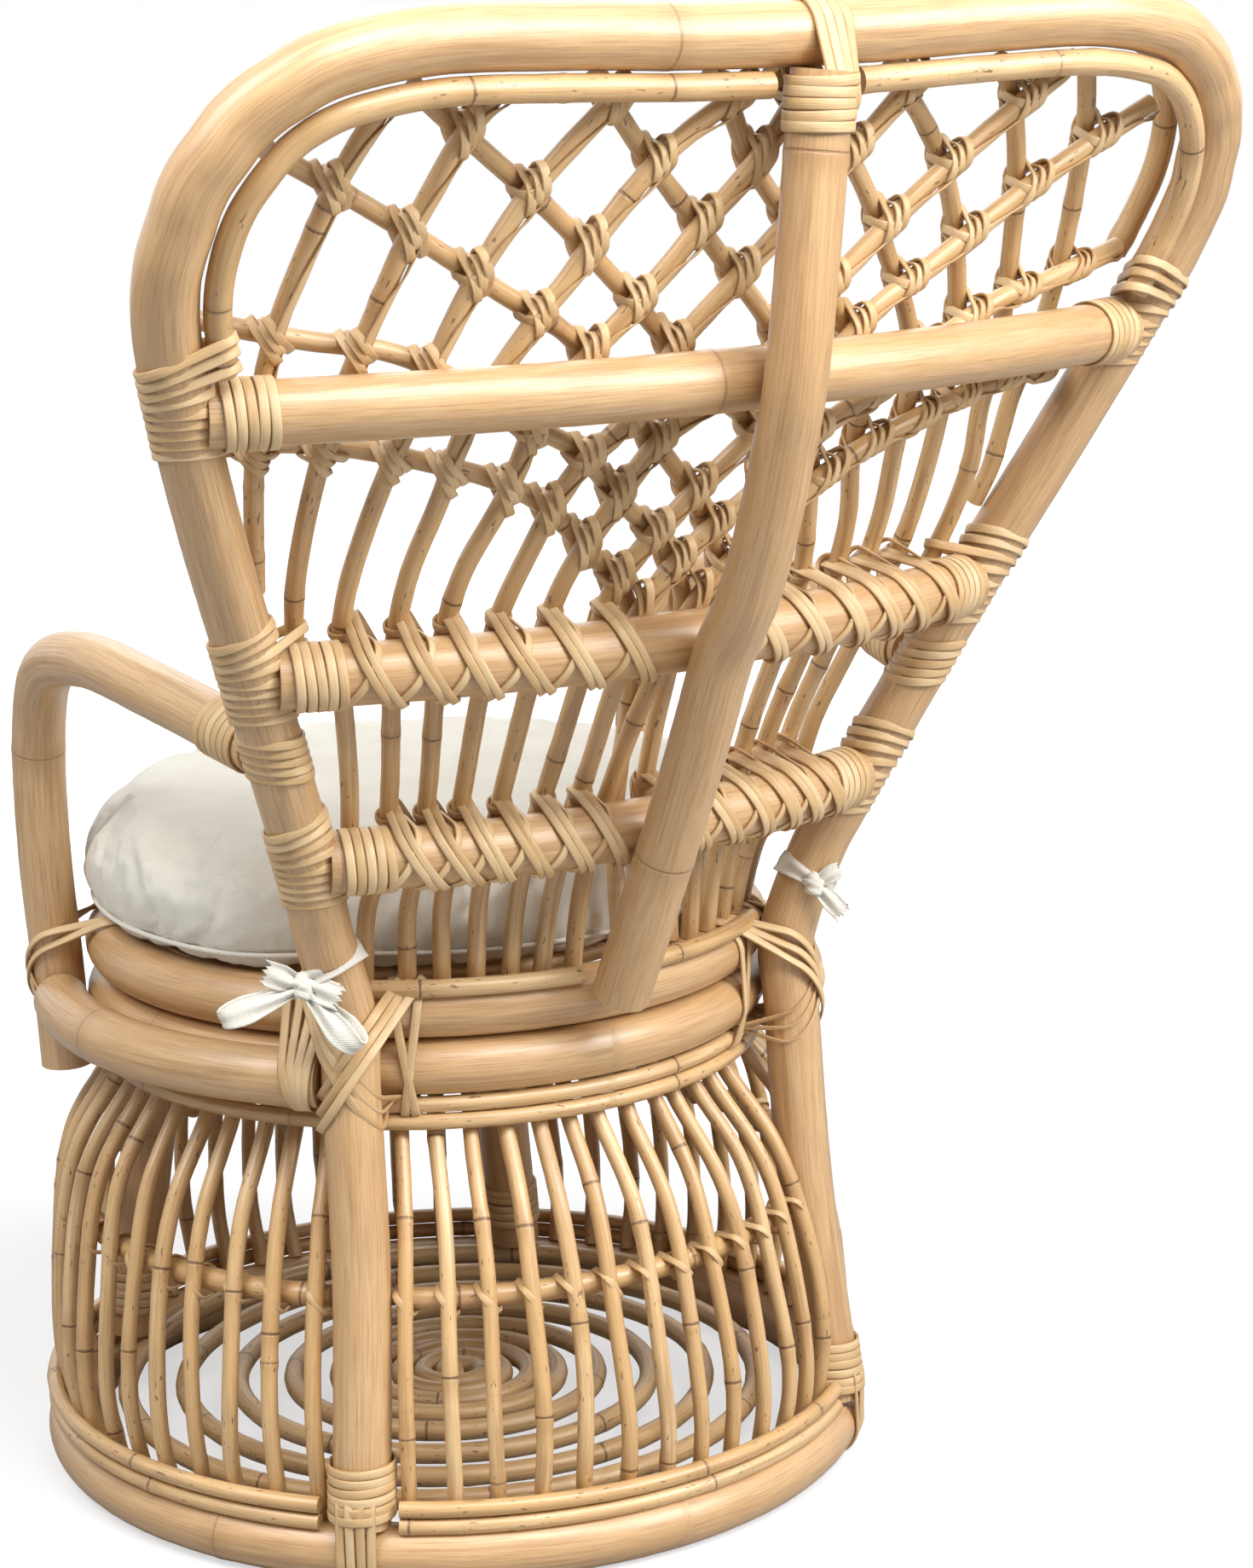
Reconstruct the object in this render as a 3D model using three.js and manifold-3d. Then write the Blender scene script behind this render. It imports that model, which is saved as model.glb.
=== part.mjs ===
import * as THREE from "three";
import { mergeVertices } from "three/addons/utils/BufferGeometryUtils.js";
import Module from "manifold-3d";

const wasm = await Module();
wasm.setup();

// Thickness of the poles, canes and strips, as radii.
const poleRadius = 19;
const armRadius = 18;
const caneRadius = 6;
const innerCaneRadius = 8;
const spindleRadius = 5.5;
const midRingRadius = 7.5;
const trimRadius = 5.5;
const topTrimRadius = 6;
const floorCaneRadius = 7;
const deckCaneRadius = 6;
const stripRadius = 3;

// Gap left between pieces that touch, and how far round canes bed together where they are tied.
const clearance = 0.35;
const caneSettle = 0.6;
const spiralSettle = 2;

// Rings and seat.
const baseRingRadius = 271;
const baseFlatDepth = 1.5;
const seatRingRadius = 219;
const seatRingHeight = 363;
const seatSetback = 24;
const deckLift = 12.8;
const deckHubRadius = 12;
const floorInset = 18;
const midRingHeight = 181;
const midRingBite = 4;

// The back hoop's axis: half width, reach behind the seat's centre, and height.
const hoopHalfWidth = 366;
const hoopReach = 438;
const hoopHeight = 982;

// Heights of the three rails and of the ends of the frame canes, as shares.
const railHeightShares = [0.4898, 0.6232, 0.7953];
const frameCaneStartShare = 0.8208;

// The spine's foot above the seat ring's axis; its head beside and behind the hoop's top.
const spineFootRise = 5;
const spineHeadSide = 17;
const spineHeadRear = 16;

// Cushion past the seat ring, its thickness, and the back canes' feet past the ring's axis.
const cushionOverhang = 21;
const cushionThickness = 83;
const caneFootOffset = 2;
const cushionEase = 3;

// Cloth ties round the rear posts.
const tieRise = 22;
const tieWidth = 16;
const tieThickness = 2.5;
const knotRadius = 11;

// Trims round the drum.
const lowerTrimOffset = 11;
const underTrimOffset = 7;
const topTrimOffset = 17;

// Strip windings on the posts, as shares of the space between the lower two rails.
const railWindingShares = [0.41, 0.41, 0.27];
const armWindingShare = 0.26;
const armDropShare = 0.397;
const stripPitch = 6.6;
const stripLift = 1.6;
const braceEndGap = 2;
const frameCaneRearOffset = 9.3;
const frameCaneInset = 11.6;
const frameCaneMeet = [5, -40];

// The hoop's spans at the feet and at the seat, as shares of the base ring and of the post's place.
const halfWidthShares = [1.350554, 1.422188];
const reachShares = [1.616236, 1.701962];
const seatShare = 0.369654;
const widestShare = 0.8;
const spindleTopShare = 1.237443;
const spindleBlendShares = [0.24, 0.63];

// The spindles' neck under the seat rings: drops and insets of its two ends.
const spindleNeckDrops = [20.65, 2.65];
const spindleNeckInsets = [3, 9];

// Hoop axis from the left foot to the top, as shares of half width, reach and height.
const hoopShares = [
  [0.51639, 0.50457, 0.03763], [0.47814, 0.47032, 0.20367], [0.46995, 0.44635, 0.33096],
  [0.46585, 0.43995, 0.36965], [0.52732, 0.46347, 0.43992], [0.54645, 0.47945, 0.45927],
  [0.56557, 0.49543, 0.4776], [0.59016, 0.5137, 0.5], [0.69672, 0.58904, 0.59165],
  [0.74863, 0.62785, 0.63646], [0.84153, 0.69635, 0.71283], [0.89891, 0.74201, 0.76273],
  [0.93169, 0.77169, 0.79328], [0.98087, 0.81963, 0.84216], [0.99727, 0.84932, 0.87067],
  [1, 0.86986, 0.88798], [0.9918, 0.89041, 0.90733], [0.98634, 0.90639, 0.92159],
  [0.97268, 0.92009, 0.93483], [0.95355, 0.93607, 0.94705], [0.92896, 0.94749, 0.96029],
  [0.89617, 0.96347, 0.97251], [0.86612, 0.9726, 0.97963], [0.81148, 0.9863, 0.99084],
  [0.65574, 1, 1.00204], [0.40984, 0.99772, 1.00204], [0.16393, 0.99543, 0.99898],
];

// Arm axis from beside the post to its foot, as shares of its place at the seat and of the height.
const armShares = [
  [1.02204, 0.48371, 0.59063], [1.02984, 0.09362, 0.59572], [1.00644, -0.17944, 0.57637],
  [0.96743, -0.34328, 0.52444], [0.94792, -0.39009, 0.43788], [0.92062, -0.4057, 0.35642],
  [0.90501, -0.4057, 0.28106],
];

// The leaning shell of the back: height, half width, edge depth and middle depth, as shares.
const shellShares = [
  [0.389, 0.47814, 0.43379, 0.50913], [0.5, 0.60656, 0.5137, 0.61872],
  [0.63136, 0.75683, 0.62785, 0.75799], [0.79328, 0.94809, 0.77169, 0.92237],
  [0.98269, 0.81967, 0.98402, 0.99315],
];

// How much further back the spine bows than the rails: height and depth, as shares.
const spineSlackShares = [
  [0.39002, 0], [0.62322, 0], [0.6609, 0.02055], [0.71589, 0.02055], [0.77902, 0.00457],
  [1.00815, 0],
];

// Back canes of one direction, as shares of half width and height.
const caneShares = [
  [
    [0.05191, 0.39002], [0.02459, 0.49695], [0, 0.57434], [-0.05464, 0.64358],
    [-0.11475, 0.66599], [-0.19126, 0.6945], [-0.26503, 0.71792], [-0.35519, 0.73625],
    [-0.46175, 0.74949], [-0.56284, 0.75967], [-0.6776, 0.76884], [-0.78142, 0.76884],
    [-0.87432, 0.76884],
  ],
  [
    [0.11202, 0.39002], [0.08197, 0.49898], [0.05464, 0.64358], [0, 0.67312],
    [-0.05191, 0.69654], [-0.15027, 0.72403], [-0.23224, 0.75356], [-0.3388, 0.77291],
    [-0.44262, 0.79633], [-0.52732, 0.81772], [-0.65027, 0.82688], [-0.78689, 0.83809],
    [-0.90164, 0.84929],
  ],
  [
    [0.1694, 0.39002], [0.15301, 0.50204], [0.13115, 0.63951], [0.11475, 0.66599],
    [0.05191, 0.69654], [0, 0.72505], [-0.10109, 0.75764], [-0.16393, 0.77597],
    [-0.25956, 0.81772], [-0.35792, 0.84114], [-0.47814, 0.86864], [-0.60109, 0.89715],
    [-0.7377, 0.92464], [-0.84153, 0.94501],
  ],
  [
    [0.22678, 0.39002], [0.23224, 0.50611], [0.22951, 0.64358], [0.19126, 0.6945],
    [0.15027, 0.72403], [0.10109, 0.75764], [0, 0.77902], [-0.10383, 0.81772],
    [-0.18852, 0.84623], [-0.28962, 0.88187], [-0.4071, 0.91752], [-0.53825, 0.95214],
    [-0.62568, 0.9776],
  ],
  [
    [0.28142, 0.39002], [0.30328, 0.5112], [0.3224, 0.64766], [0.26503, 0.71792],
    [0.23224, 0.75356], [0.16393, 0.77597], [0.10383, 0.81772], [0, 0.85845],
    [-0.08743, 0.89104], [-0.19126, 0.92974], [-0.28415, 0.96741], [-0.31421, 0.9776],
  ],
  [
    [0.33333, 0.39002], [0.36339, 0.51426], [0.41257, 0.65173], [0.35519, 0.73625],
    [0.3388, 0.77291], [0.25956, 0.81772], [0.18852, 0.84623], [0.08743, 0.89104], [0, 0.9277],
    [-0.06011, 0.96436], [-0.09563, 0.9776],
  ],
  [
    [0.39344, 0.39002], [0.42896, 0.51833], [0.49454, 0.65377], [0.46175, 0.74949],
    [0.44262, 0.79633], [0.35792, 0.84114], [0.28962, 0.88187], [0.19126, 0.92974],
    [0.06011, 0.96436], [0.02186, 0.9776],
  ],
  [
    [0.45082, 0.39002], [0.49454, 0.52138], [0.5847, 0.6558], [0.56284, 0.75967],
    [0.52732, 0.81772], [0.47814, 0.86864], [0.4071, 0.91752], [0.28415, 0.96741],
    [0.25956, 0.9776],
  ],
  [
    [0.53552, 0.52138], [0.54645, 0.53971], [0.6612, 0.65784], [0.6776, 0.76884],
    [0.65027, 0.82688], [0.60109, 0.89715], [0.53825, 0.95214], [0.48634, 0.9776],
  ],
  [
    [0.71585, 0.65682], [0.72404, 0.66701], [0.78142, 0.76884], [0.78689, 0.83809],
    [0.7377, 0.92464], [0.68306, 0.97251],
  ],
];

// Spindle profile: shares of the base ring radius and of the seat ring height.
const spindleShares = [
  [0.98893, 0.10413], [1.0203, 0.23416], [1.00554, 0.41322], [0.93727, 0.6281],
];

// Floor spiral: shares of its turns and of its outer radius.
const floorTurns = 8.7;
const floorShares = [
  [0, 0.01976], [0.11494, 0.07905], [0.22989, 0.13834], [0.34483, 0.21344], [0.45977, 0.29644],
  [0.57471, 0.41107], [0.68966, 0.56522], [0.8046, 0.71937], [0.91954, 0.86166], [1, 1],
];

// Cushion profile: shares of its radius and thickness.
const cushionShares = [
  [0.83333, 0], [0.94167, 0.04398], [0.975, 0.16446], [0.99583, 0.32108], [1, 0.50181],
  [0.9875, 0.70663], [0.94167, 0.8512], [0.79167, 0.94157], [0.45833, 0.98855],
];

// Counts.
const deckTurns = 5.5;
const rearSpindles = 13;
const frontSpindles = 42;
const spindlesBeforeLeg = 14;
const poleSides = 8;
const thinSides = 4;
const caneSides = 5;
const frameFadeShare = 0.09;
const layerShare = 1.06;
const fadeShares = [
  [0.389, 0], [0.48, 1], [0.81, 1], [0.983, 0.28], [1.05, 0.28],
];
const layerFadeShares = [
  [0.389, 0], [0.53, 1], [1.05, 1],
];
const outerLayerFadeShares = [
  [0.7, 0], [0.755, 0.98], [1.05, 0.98],
];
const rearCushionShares = [
  [0, 0], [0.75, 0], [1.15, 1], [4, 1],
];

// Heights and places that follow from the sizes.
const seatCentreY = -seatSetback;
const lowerRingHeight = seatRingHeight - poleRadius * 2 - clearance;
const postSeatRadius = seatRingRadius + poleRadius * 2 + clearance;
const armSeatRadius = seatRingRadius + poleRadius + armRadius + clearance;
const cushionRadius = seatRingRadius + cushionOverhang;
const caneFootRadius = seatRingRadius + caneFootOffset;
const floorOuterRadius = baseRingRadius - floorInset;
const seatTop = seatRingHeight + poleRadius;
const stripAxisRadius = poleRadius + stripRadius + stripLift;
const stripOuter = stripAxisRadius + stripRadius;
const tieHeight = seatTop + tieRise;
const floorReach = poleRadius + floorCaneRadius + clearance - spiralSettle;
const floorHeight = poleRadius - baseFlatDepth + Math.sqrt(floorReach ** 2 - floorInset ** 2);

const fullTurn = Math.PI * 2;

// Straight interpolation in a table of rows, in the given column.
function lookUp(rows, at, column) {
  const last = rows.length - 1;
  if (at <= rows[0][0]) return rows[0][column];
  for (let i = 0; i < last; i++) {
    const [low, high] = [rows[i], rows[i + 1]];
    if (at <= high[0]) {
      const part = (at - low[0]) / (high[0] - low[0]);
      return low[column] + (high[column] - low[column]) * part;
    }
  }
  return rows[last][column];
}

// Heights from shares: below the seat they follow the seat, above it the hoop.
function heightOf(share) {
  if (share <= seatShare) return (share / seatShare) * seatRingHeight;
  const part = (share - seatShare) / (1 - seatShare);
  return seatRingHeight + part * (hoopHeight - seatRingHeight);
}
function shareOf(height) {
  if (height <= seatRingHeight) return (height / seatRingHeight) * seatShare;
  const part = (height - seatRingHeight) / (hoopHeight - seatRingHeight);
  return seatShare + part * (1 - seatShare);
}

// The half width or reach that a share of height is measured in.
function spanAt(share, shares, full) {
  const [foot, seat] = [shares[0] * baseRingRadius, shares[1] * postSeatRadius];
  if (share < seatShare) return foot + ((seat - foot) * share) / seatShare;
  const part = Math.min(1, (share - seatShare) / (widestShare - seatShare));
  return seat + (full - seat) * part;
}
const widthAt = (share) => spanAt(share, halfWidthShares, hoopHalfWidth);
const reachAt = (share) => spanAt(share, reachShares, hoopReach);

const railHeights = railHeightShares.map(heightOf);
const railSpace = railHeights[1] - railHeights[0];
const armJointHeight = railHeights[1] - railSpace * armDropShare;
const railTurns = railWindingShares.map((share) => Math.floor((share * railSpace) / stripPitch));
const armTurns = Math.floor((armWindingShare * railSpace) / stripPitch);
const frameCaneStartHeight = heightOf(frameCaneStartShare);

// A curve with even steps in its own parameter.
class StepCurve extends THREE.Curve {
  constructor(pointAt) {
    super();
    this.pointAt = pointAt;
  }
  getPoint(t) {
    return this.pointAt(t);
  }
  getPointAt(t) {
    return this.pointAt(t);
  }
  getTangentAt(t) {
    return this.getTangent(t);
  }
}

// The flat section of a pole with the given number of sides.
function section(radius, sides) {
  const corners = [];
  for (let i = 0; i < sides; i++) {
    const turn = (i / sides) * fullTurn;
    corners.push(new THREE.Vector2(Math.cos(turn) * radius, Math.sin(turn) * radius));
  }
  return new THREE.Shape(corners);
}

// A pole along a curve.
function poleAlong(curve, radius, sides, steps) {
  return new THREE.ExtrudeGeometry(section(radius, sides), {
    steps,
    bevelEnabled: false,
    extrudePath: curve,
  });
}

// A smooth curve through points.
function through(points) {
  return new THREE.CatmullRomCurve3(points, false, "centripetal");
}

// Geometry as a solid with its faces out.
function solidOf(geometry) {
  const plain = geometry.index ? geometry.toNonIndexed() : geometry.clone();
  plain.deleteAttribute("normal");
  plain.deleteAttribute("uv");
  const merged = mergeVertices(plain, poleRadius / 19000);
  const triVerts = new Uint32Array(merged.index.array);
  const vertProperties = merged.attributes.position.array;
  const made = new wasm.Manifold(new wasm.Mesh({ numProp: 3, vertProperties, triVerts }));
  if (made.volume() > 0) return made;
  for (let i = 0; i < triVerts.length; i += 3) {
    const second = triVerts[i + 1];
    triVerts[i + 1] = triVerts[i + 2];
    triVerts[i + 2] = second;
  }
  return new wasm.Manifold(new wasm.Mesh({ numProp: 3, vertProperties, triVerts }));
}

// A solid as geometry.
function geometryOf(solid) {
  const mesh = solid.getMesh();
  const geometry = new THREE.BufferGeometry();
  geometry.setAttribute("position", new THREE.BufferAttribute(mesh.vertProperties, 3));
  geometry.setIndex(new THREE.BufferAttribute(mesh.triVerts, 1));
  geometry.computeVertexNormals();
  return geometry;
}

const chair = new THREE.Group();

// Adds one piece to the chair, optionally mirrored to the other side.
function addPiece(name, shape, look, mirrored = false) {
  let solid = shape.isBufferGeometry ? solidOf(shape) : shape;
  if (mirrored) solid = solid.mirror([1, 0, 0]);
  const material = new THREE.MeshStandardMaterial(look);
  const mesh = new THREE.Mesh(geometryOf(solid), material);
  mesh.name = name;
  chair.add(mesh);
}

const poleLook = { color: 0xd9b27c, roughness: 0.45, metalness: 0 };
const caneLook = { color: 0xd2a667, roughness: 0.5, metalness: 0 };
const stripLook = { color: 0xe3c592, roughness: 0.55, metalness: 0 };
const clothLook = { color: 0xe9e4d8, roughness: 0.95, metalness: 0 };

// A point given as shares of the hoop's sizes.
function hoopPoint([x, y, z]) {
  return new THREE.Vector3(x * widthAt(z), seatCentreY + y * reachAt(z), heightOf(z));
}

const halfHoop = hoopShares.map(hoopPoint);
const otherHalf = halfHoop.map((p) => new THREE.Vector3(-p.x, p.y, p.z)).reverse();
const hoopCurve = through([...halfHoop, ...otherHalf]);
const hoopSamples = hoopCurve.getSpacedPoints(800);
const leftPost = hoopSamples.slice(0, 270);

// Place on the left post's axis at a height.
function postAt(height) {
  for (let i = 1; i < leftPost.length; i++) {
    if (leftPost[i].z >= height) {
      const [low, high] = [leftPost[i - 1], leftPost[i]];
      return low.clone().lerp(high, (height - low.z) / (high.z - low.z));
    }
  }
  return leftPost[leftPost.length - 1].clone();
}

// Azimuth of the left post about the drum's axis at a height.
function postAngle(height) {
  const p = postAt(height);
  return Math.atan2(p.x, p.y - drumCentreY(height));
}

// The drum's axis drifts forward from the floor to the seat.
function drumCentreY(height) {
  return seatCentreY * Math.min(1, height / (lowerRingHeight - poleRadius * 2));
}

// Depth of the back shell's rail surface at a place, and its lean at a height.
function shellDepth(x, z) {
  const share = shareOf(z);
  const half = lookUp(shellShares, share, 1) * widthAt(share);
  const edge = seatCentreY + lookUp(shellShares, share, 2) * reachAt(share);
  const middle = seatCentreY + lookUp(shellShares, share, 3) * reachAt(share);
  return edge + (middle - edge) * (1 - (x / half) ** 2);
}
function leanCosine(x, z) {
  const step = hoopHeight / 40;
  const rise = shellDepth(x, z + step) - shellDepth(x, z - step);
  const turn = shellDepth(x + step, z) - shellDepth(x - step, z);
  return (step * 2) / Math.hypot(rise, turn, step * 2);
}

// Place on a level circle about the seat's centre, angle from straight back.
function aroundSeat(radius, angle, z) {
  return new THREE.Vector3(Math.sin(angle) * radius, seatCentreY + Math.cos(angle) * radius, z);
}

// An arc of cane or pole about the seat's or the drum's centre.
function arc(radius, from, to, z, thickness, sides, steps) {
  const centreY = drumCentreY(z);
  const curve = new StepCurve((t) => {
    const angle = from + (to - from) * t;
    return new THREE.Vector3(Math.sin(angle) * radius, centreY + Math.cos(angle) * radius, z);
  });
  return poleAlong(curve, thickness, sides, steps);
}

// Rings: the base ring has a flat underside.
function makeBaseRing() {
  const profile = [];
  const corners = 8;
  const flatHalfAngle = Math.acos(1 - baseFlatDepth / poleRadius);
  for (let i = 0; i <= corners; i++) {
    const turn = -Math.PI / 2 + flatHalfAngle + (i / corners) * (fullTurn - flatHalfAngle * 2);
    const x = baseRingRadius + Math.cos(turn) * poleRadius;
    profile.push(new THREE.Vector2(x, Math.sin(turn) * poleRadius + poleRadius - baseFlatDepth));
  }
  profile.push(profile[0].clone());
  const ring = new THREE.LatheGeometry(profile, 40);
  ring.rotateX(Math.PI / 2);
  addPiece("base_ring", ring, poleLook);
}

function makeSeatRing(name, height) {
  const ring = new THREE.TorusGeometry(seatRingRadius, poleRadius, poleSides, 40);
  ring.translate(0, seatCentreY, height);
  addPiece(name, ring, poleLook);
}

// A fat stretch of the post, which copes the end of a pole that meets its winding.
function copeCutter(height) {
  const low = postAt(height - poleRadius * 2.5);
  const high = postAt(height + poleRadius * 2.5);
  const axis = through([low, postAt(height), high]);
  const sides = 12;
  const radius = (stripOuter + clearance) / Math.cos(Math.PI / sides);
  return solidOf(poleAlong(axis, radius, sides, 4));
}

// A rail between the posts, coped to the windings.
function makeRail(name, height) {
  const post = postAt(height);
  const slope = (shellDepth(post.x - poleRadius, height) - shellDepth(post.x, height)) / poleRadius;
  const end = post.x - poleRadius / Math.hypot(1, slope);
  const points = [];
  const count = 8;
  for (let i = 0; i <= count; i++) {
    const x = end * (1 - (i / count) * 2);
    points.push(new THREE.Vector3(x, shellDepth(x, height), height));
  }
  const rail = solidOf(poleAlong(through(points), poleRadius, poleSides, 10));
  const leftCut = copeCutter(height);
  addPiece(name, rail.subtract(leftCut).subtract(leftCut.mirror([1, 0, 0])), poleLook);
}

// The spine runs behind the rails and ends under the hoop's top.
function makeSpine() {
  const points = [];
  const top = hoopSamples[hoopSamples.length >> 1];
  const footY = seatCentreY + seatRingRadius + poleRadius * 2 + clearance;
  points.push(new THREE.Vector3(0, footY + clearance, seatRingHeight + spineFootRise));
  const stops = [0.42, 0.455, 0.49, 0.535, 0.58, 0.623, 0.66, 0.715, 0.755, 0.796];
  for (const stop of stops) {
    const z = heightOf(stop);
    const slack = lookUp(spineSlackShares, stop, 1) * hoopReach;
    const step = (poleRadius * 2 + clearance * 2) / leanCosine(0, z);
    points.push(new THREE.Vector3(0, shellDepth(0, z) + step + slack, z));
  }
  const headZ = top.z - poleRadius - clearance * 3;
  points.push(new THREE.Vector3(-spineHeadSide, top.y + spineHeadRear, headZ));
  addPiece("centre_spine", poleAlong(through(points), poleRadius, poleSides, 18), poleLook);
}

// A place on an arm, given as shares of its place at the seat.
function armPoint([x, y, z]) {
  return new THREE.Vector3(x * armSeatRadius, seatCentreY + y * armSeatRadius, heightOf(z));
}

// An arm, coped to the winding on the post, down to its foot beside the seat rings.
function makeArm(name, mirrored) {
  const points = armShares.map(armPoint);
  const joint = postAt(armJointHeight);
  const away = points[0].clone().sub(joint).normalize();
  points.unshift(joint.clone().addScaledVector(away, poleRadius));
  const arm = solidOf(poleAlong(through(points), armRadius, poleSides, 22));
  addPiece(name, arm.subtract(copeCutter(armJointHeight)), poleLook, mirrored);
}

// A side brace beside the seat rings, between the post and the arm's foot.
function makeBrace(name, mirrored) {
  const radius = seatRingRadius + poleRadius * 2 + clearance;
  const height = lowerRingHeight + braceEndGap;
  const foot = armPoint(armShares[armShares.length - 2]);
  const footAngle = Math.atan2(foot.x, foot.y - seatCentreY);
  const from = postAngle(height) + (poleRadius + braceEndGap) / radius;
  const to = footAngle - (armRadius + braceEndGap) / radius;
  addPiece(name, arc(radius, from, to, height, poleRadius, poleSides, 8), poleLook, mirrored);
}

// Distance from a place to the hoop's surface, or to a winding on it.
function clearOfHoop(place) {
  let least = Infinity;
  const wound = [...railHeights, armJointHeight].some(
    (height) => Math.abs(height - place.z) < stripPitch * 6.5,
  );
  const reach = wound ? stripOuter : poleRadius;
  for (const sample of hoopSamples) least = Math.min(least, sample.distanceTo(place) - reach);
  return least;
}

// A back cane on the shell; the second family lies one layer nearer the seat.
function makeBackCane(index, front) {
  const table = caneShares[index];
  const flat = new THREE.SplineCurve(
    table.map(([x, z]) => new THREE.Vector2(x * widthAt(z), heightOf(z))),
  );
  const samples = flat.getSpacedPoints(80);
  const stands = table[0][1] < 0.4;
  const layerFade = stands ? layerFadeShares : outerLayerFadeShares;
  const footHeight = seatTop + clearance * 1.3;
  const line = [];
  for (const { x, y: z } of samples) {
    const share = shareOf(z);
    const cosine = leanCosine(x, z);
    const fade = lookUp(fadeShares, share, 1);
    let depth = shellDepth(x, z) - ((poleRadius + caneRadius + clearance - caneSettle) * fade) / cosine;
    const layer = (caneRadius * 2 + clearance) * layerShare * lookUp(layerFade, share, 1);
    if (front) depth -= layer / cosine;
    if (stands && share < fadeShares[1][0]) {
      const onRing = seatCentreY + Math.sqrt(caneFootRadius ** 2 - x ** 2);
      const blend = (share - fadeShares[0][0]) / (fadeShares[1][0] - fadeShares[0][0]);
      const ease = Math.max(0, blend) ** 1.5;
      depth = onRing + (depth - onRing) * Math.min(1, ease);
    }
    line.push(new THREE.Vector3(x, depth, Math.max(z, footHeight)));
  }
  if (stands) line[0].z = footHeight;
  const need = caneRadius + clearance;
  while (clearOfHoop(line[line.length - 1]) < need) line.pop();
  while (clearOfHoop(line[0]) < need) line.shift();
  const kept = line.filter((place, i) => i % 6 === 0 || i === line.length - 1);
  const steps = Math.max(6, Math.round(table.length * 0.92));
  const cane = poleAlong(through(kept), caneRadius, caneSides, steps);
  const label = String(index + 1).padStart(2, "0");
  addPiece((front ? "front" : "rear") + "_cane_" + label, cane, caneLook, front);
}

// A cane that follows the inside of the hoop, given its inset and its way to the rear.
function frameCane(name, inset, rear, keep, steps) {
  const middle = new THREE.Vector3(0, shellDepth(0, railHeights[2]), railHeights[2] * 1.02);
  const points = [];
  const count = hoopSamples.length;
  for (let i = 0; i < count; i += 10) {
    const place = hoopSamples[i];
    if (place.z < frameCaneStartHeight || !keep(place)) continue;
    const along = hoopSamples[Math.min(i + 1, count - 1)]
      .clone()
      .sub(hoopSamples[i - 1])
      .normalize();
    const inward = middle.clone().sub(place);
    inward.addScaledVector(along, -inward.dot(along)).normalize();
    const back = inward.clone().cross(along).normalize();
    if (back.y < 0) back.negate();
    points.push(place.clone().addScaledVector(inward, inset).addScaledVector(back, rear));
  }
  addPiece(name, poleAlong(through(points), innerCaneRadius, caneSides, steps), caneLook);
}

function makeFrameCanes() {
  const touch = poleRadius + innerCaneRadius + clearance * 4;
  const inset = Math.sqrt(touch ** 2 - frameCaneRearOffset ** 2);
  const [leftEnd, rightEnd] = frameCaneMeet;
  frameCane("frame_cane_rear_left", inset, frameCaneRearOffset, (p) => p.x > leftEnd, 14);
  frameCane("frame_cane_rear_right", inset, frameCaneRearOffset, (p) => p.x < rightEnd, 14);
  const layers = (caneRadius * 2 + clearance) * layerShare + (poleRadius + caneRadius) * frameFadeShare;
  const ahead = layers + caneRadius + innerCaneRadius + clearance;
  frameCane("frame_cane_front", frameCaneInset, -ahead, () => true, 24);
}

// The radius that a spindle's places are measured in: the base ring's below, the seat ring's above.
function spindleSpan(share) {
  const top = spindleTopShare * seatRingRadius;
  const [low, high] = spindleBlendShares;
  const part = Math.min(1, Math.max(0, (share - low) / (high - low)));
  return baseRingRadius + (top - baseRingRadius) * part;
}

// Azimuth at a share of the way round the front, from the left post to the right one.
function frontAngle(share, height) {
  const post = postAngle(height);
  return post + (fullTurn - post * 2) * share;
}

// One spindle of the drum at a share of the way between the posts, rear or front.
function spindle(share, front) {
  const profile = spindleShares.map(([r, z]) => [r * spindleSpan(z), z * seatRingHeight]);
  spindleNeckDrops.forEach((drop, i) => {
    profile.push([seatRingRadius - spindleNeckInsets[i], lowerRingHeight - poleRadius - drop]);
  });
  const rows = profile.length - 1;
  const places = profile.map(([radius, height]) => {
    const angle = front ? frontAngle(share, height) : postAngle(height) * share;
    const centreY = drumCentreY(height);
    return new THREE.Vector3(
      Math.sin(angle) * radius,
      centreY + Math.cos(angle) * radius,
      height,
    );
  });
  const curve = new StepCurve((t) => {
    const row = Math.min(rows - 1, Math.floor(t * rows));
    return places[row].clone().lerp(places[row + 1], t * rows - row);
  });
  return solidOf(poleAlong(curve, spindleRadius, thinSides, rows));
}

// A cage: spindles joined by their stretch of the mid ring.
function makeCage(name, shares, front) {
  const share = midRingHeight / seatRingHeight;
  const swapped = spindleShares.map(([r, z]) => [z, r]);
  const spindleAt = lookUp(swapped, share, 1) * spindleSpan(share);
  const radius = spindleAt - spindleRadius - midRingRadius + midRingBite;
  const post = postAngle(midRingHeight);
  const angleOf = (s) => (front ? frontAngle(s, midRingHeight) : post * s);
  const reach = spindleRadius / radius;
  const from = angleOf(shares[0]) - reach;
  const to = angleOf(shares[shares.length - 1]) + reach;
  const steps = Math.ceil(((to - from) / fullTurn) * 38);
  const ring = arc(radius, from, to, midRingHeight, midRingRadius, caneSides, steps);
  let cage = solidOf(ring);
  for (const s of shares) cage = cage.add(spindle(s, front));
  addPiece(name, cage, caneLook);
}

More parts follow.
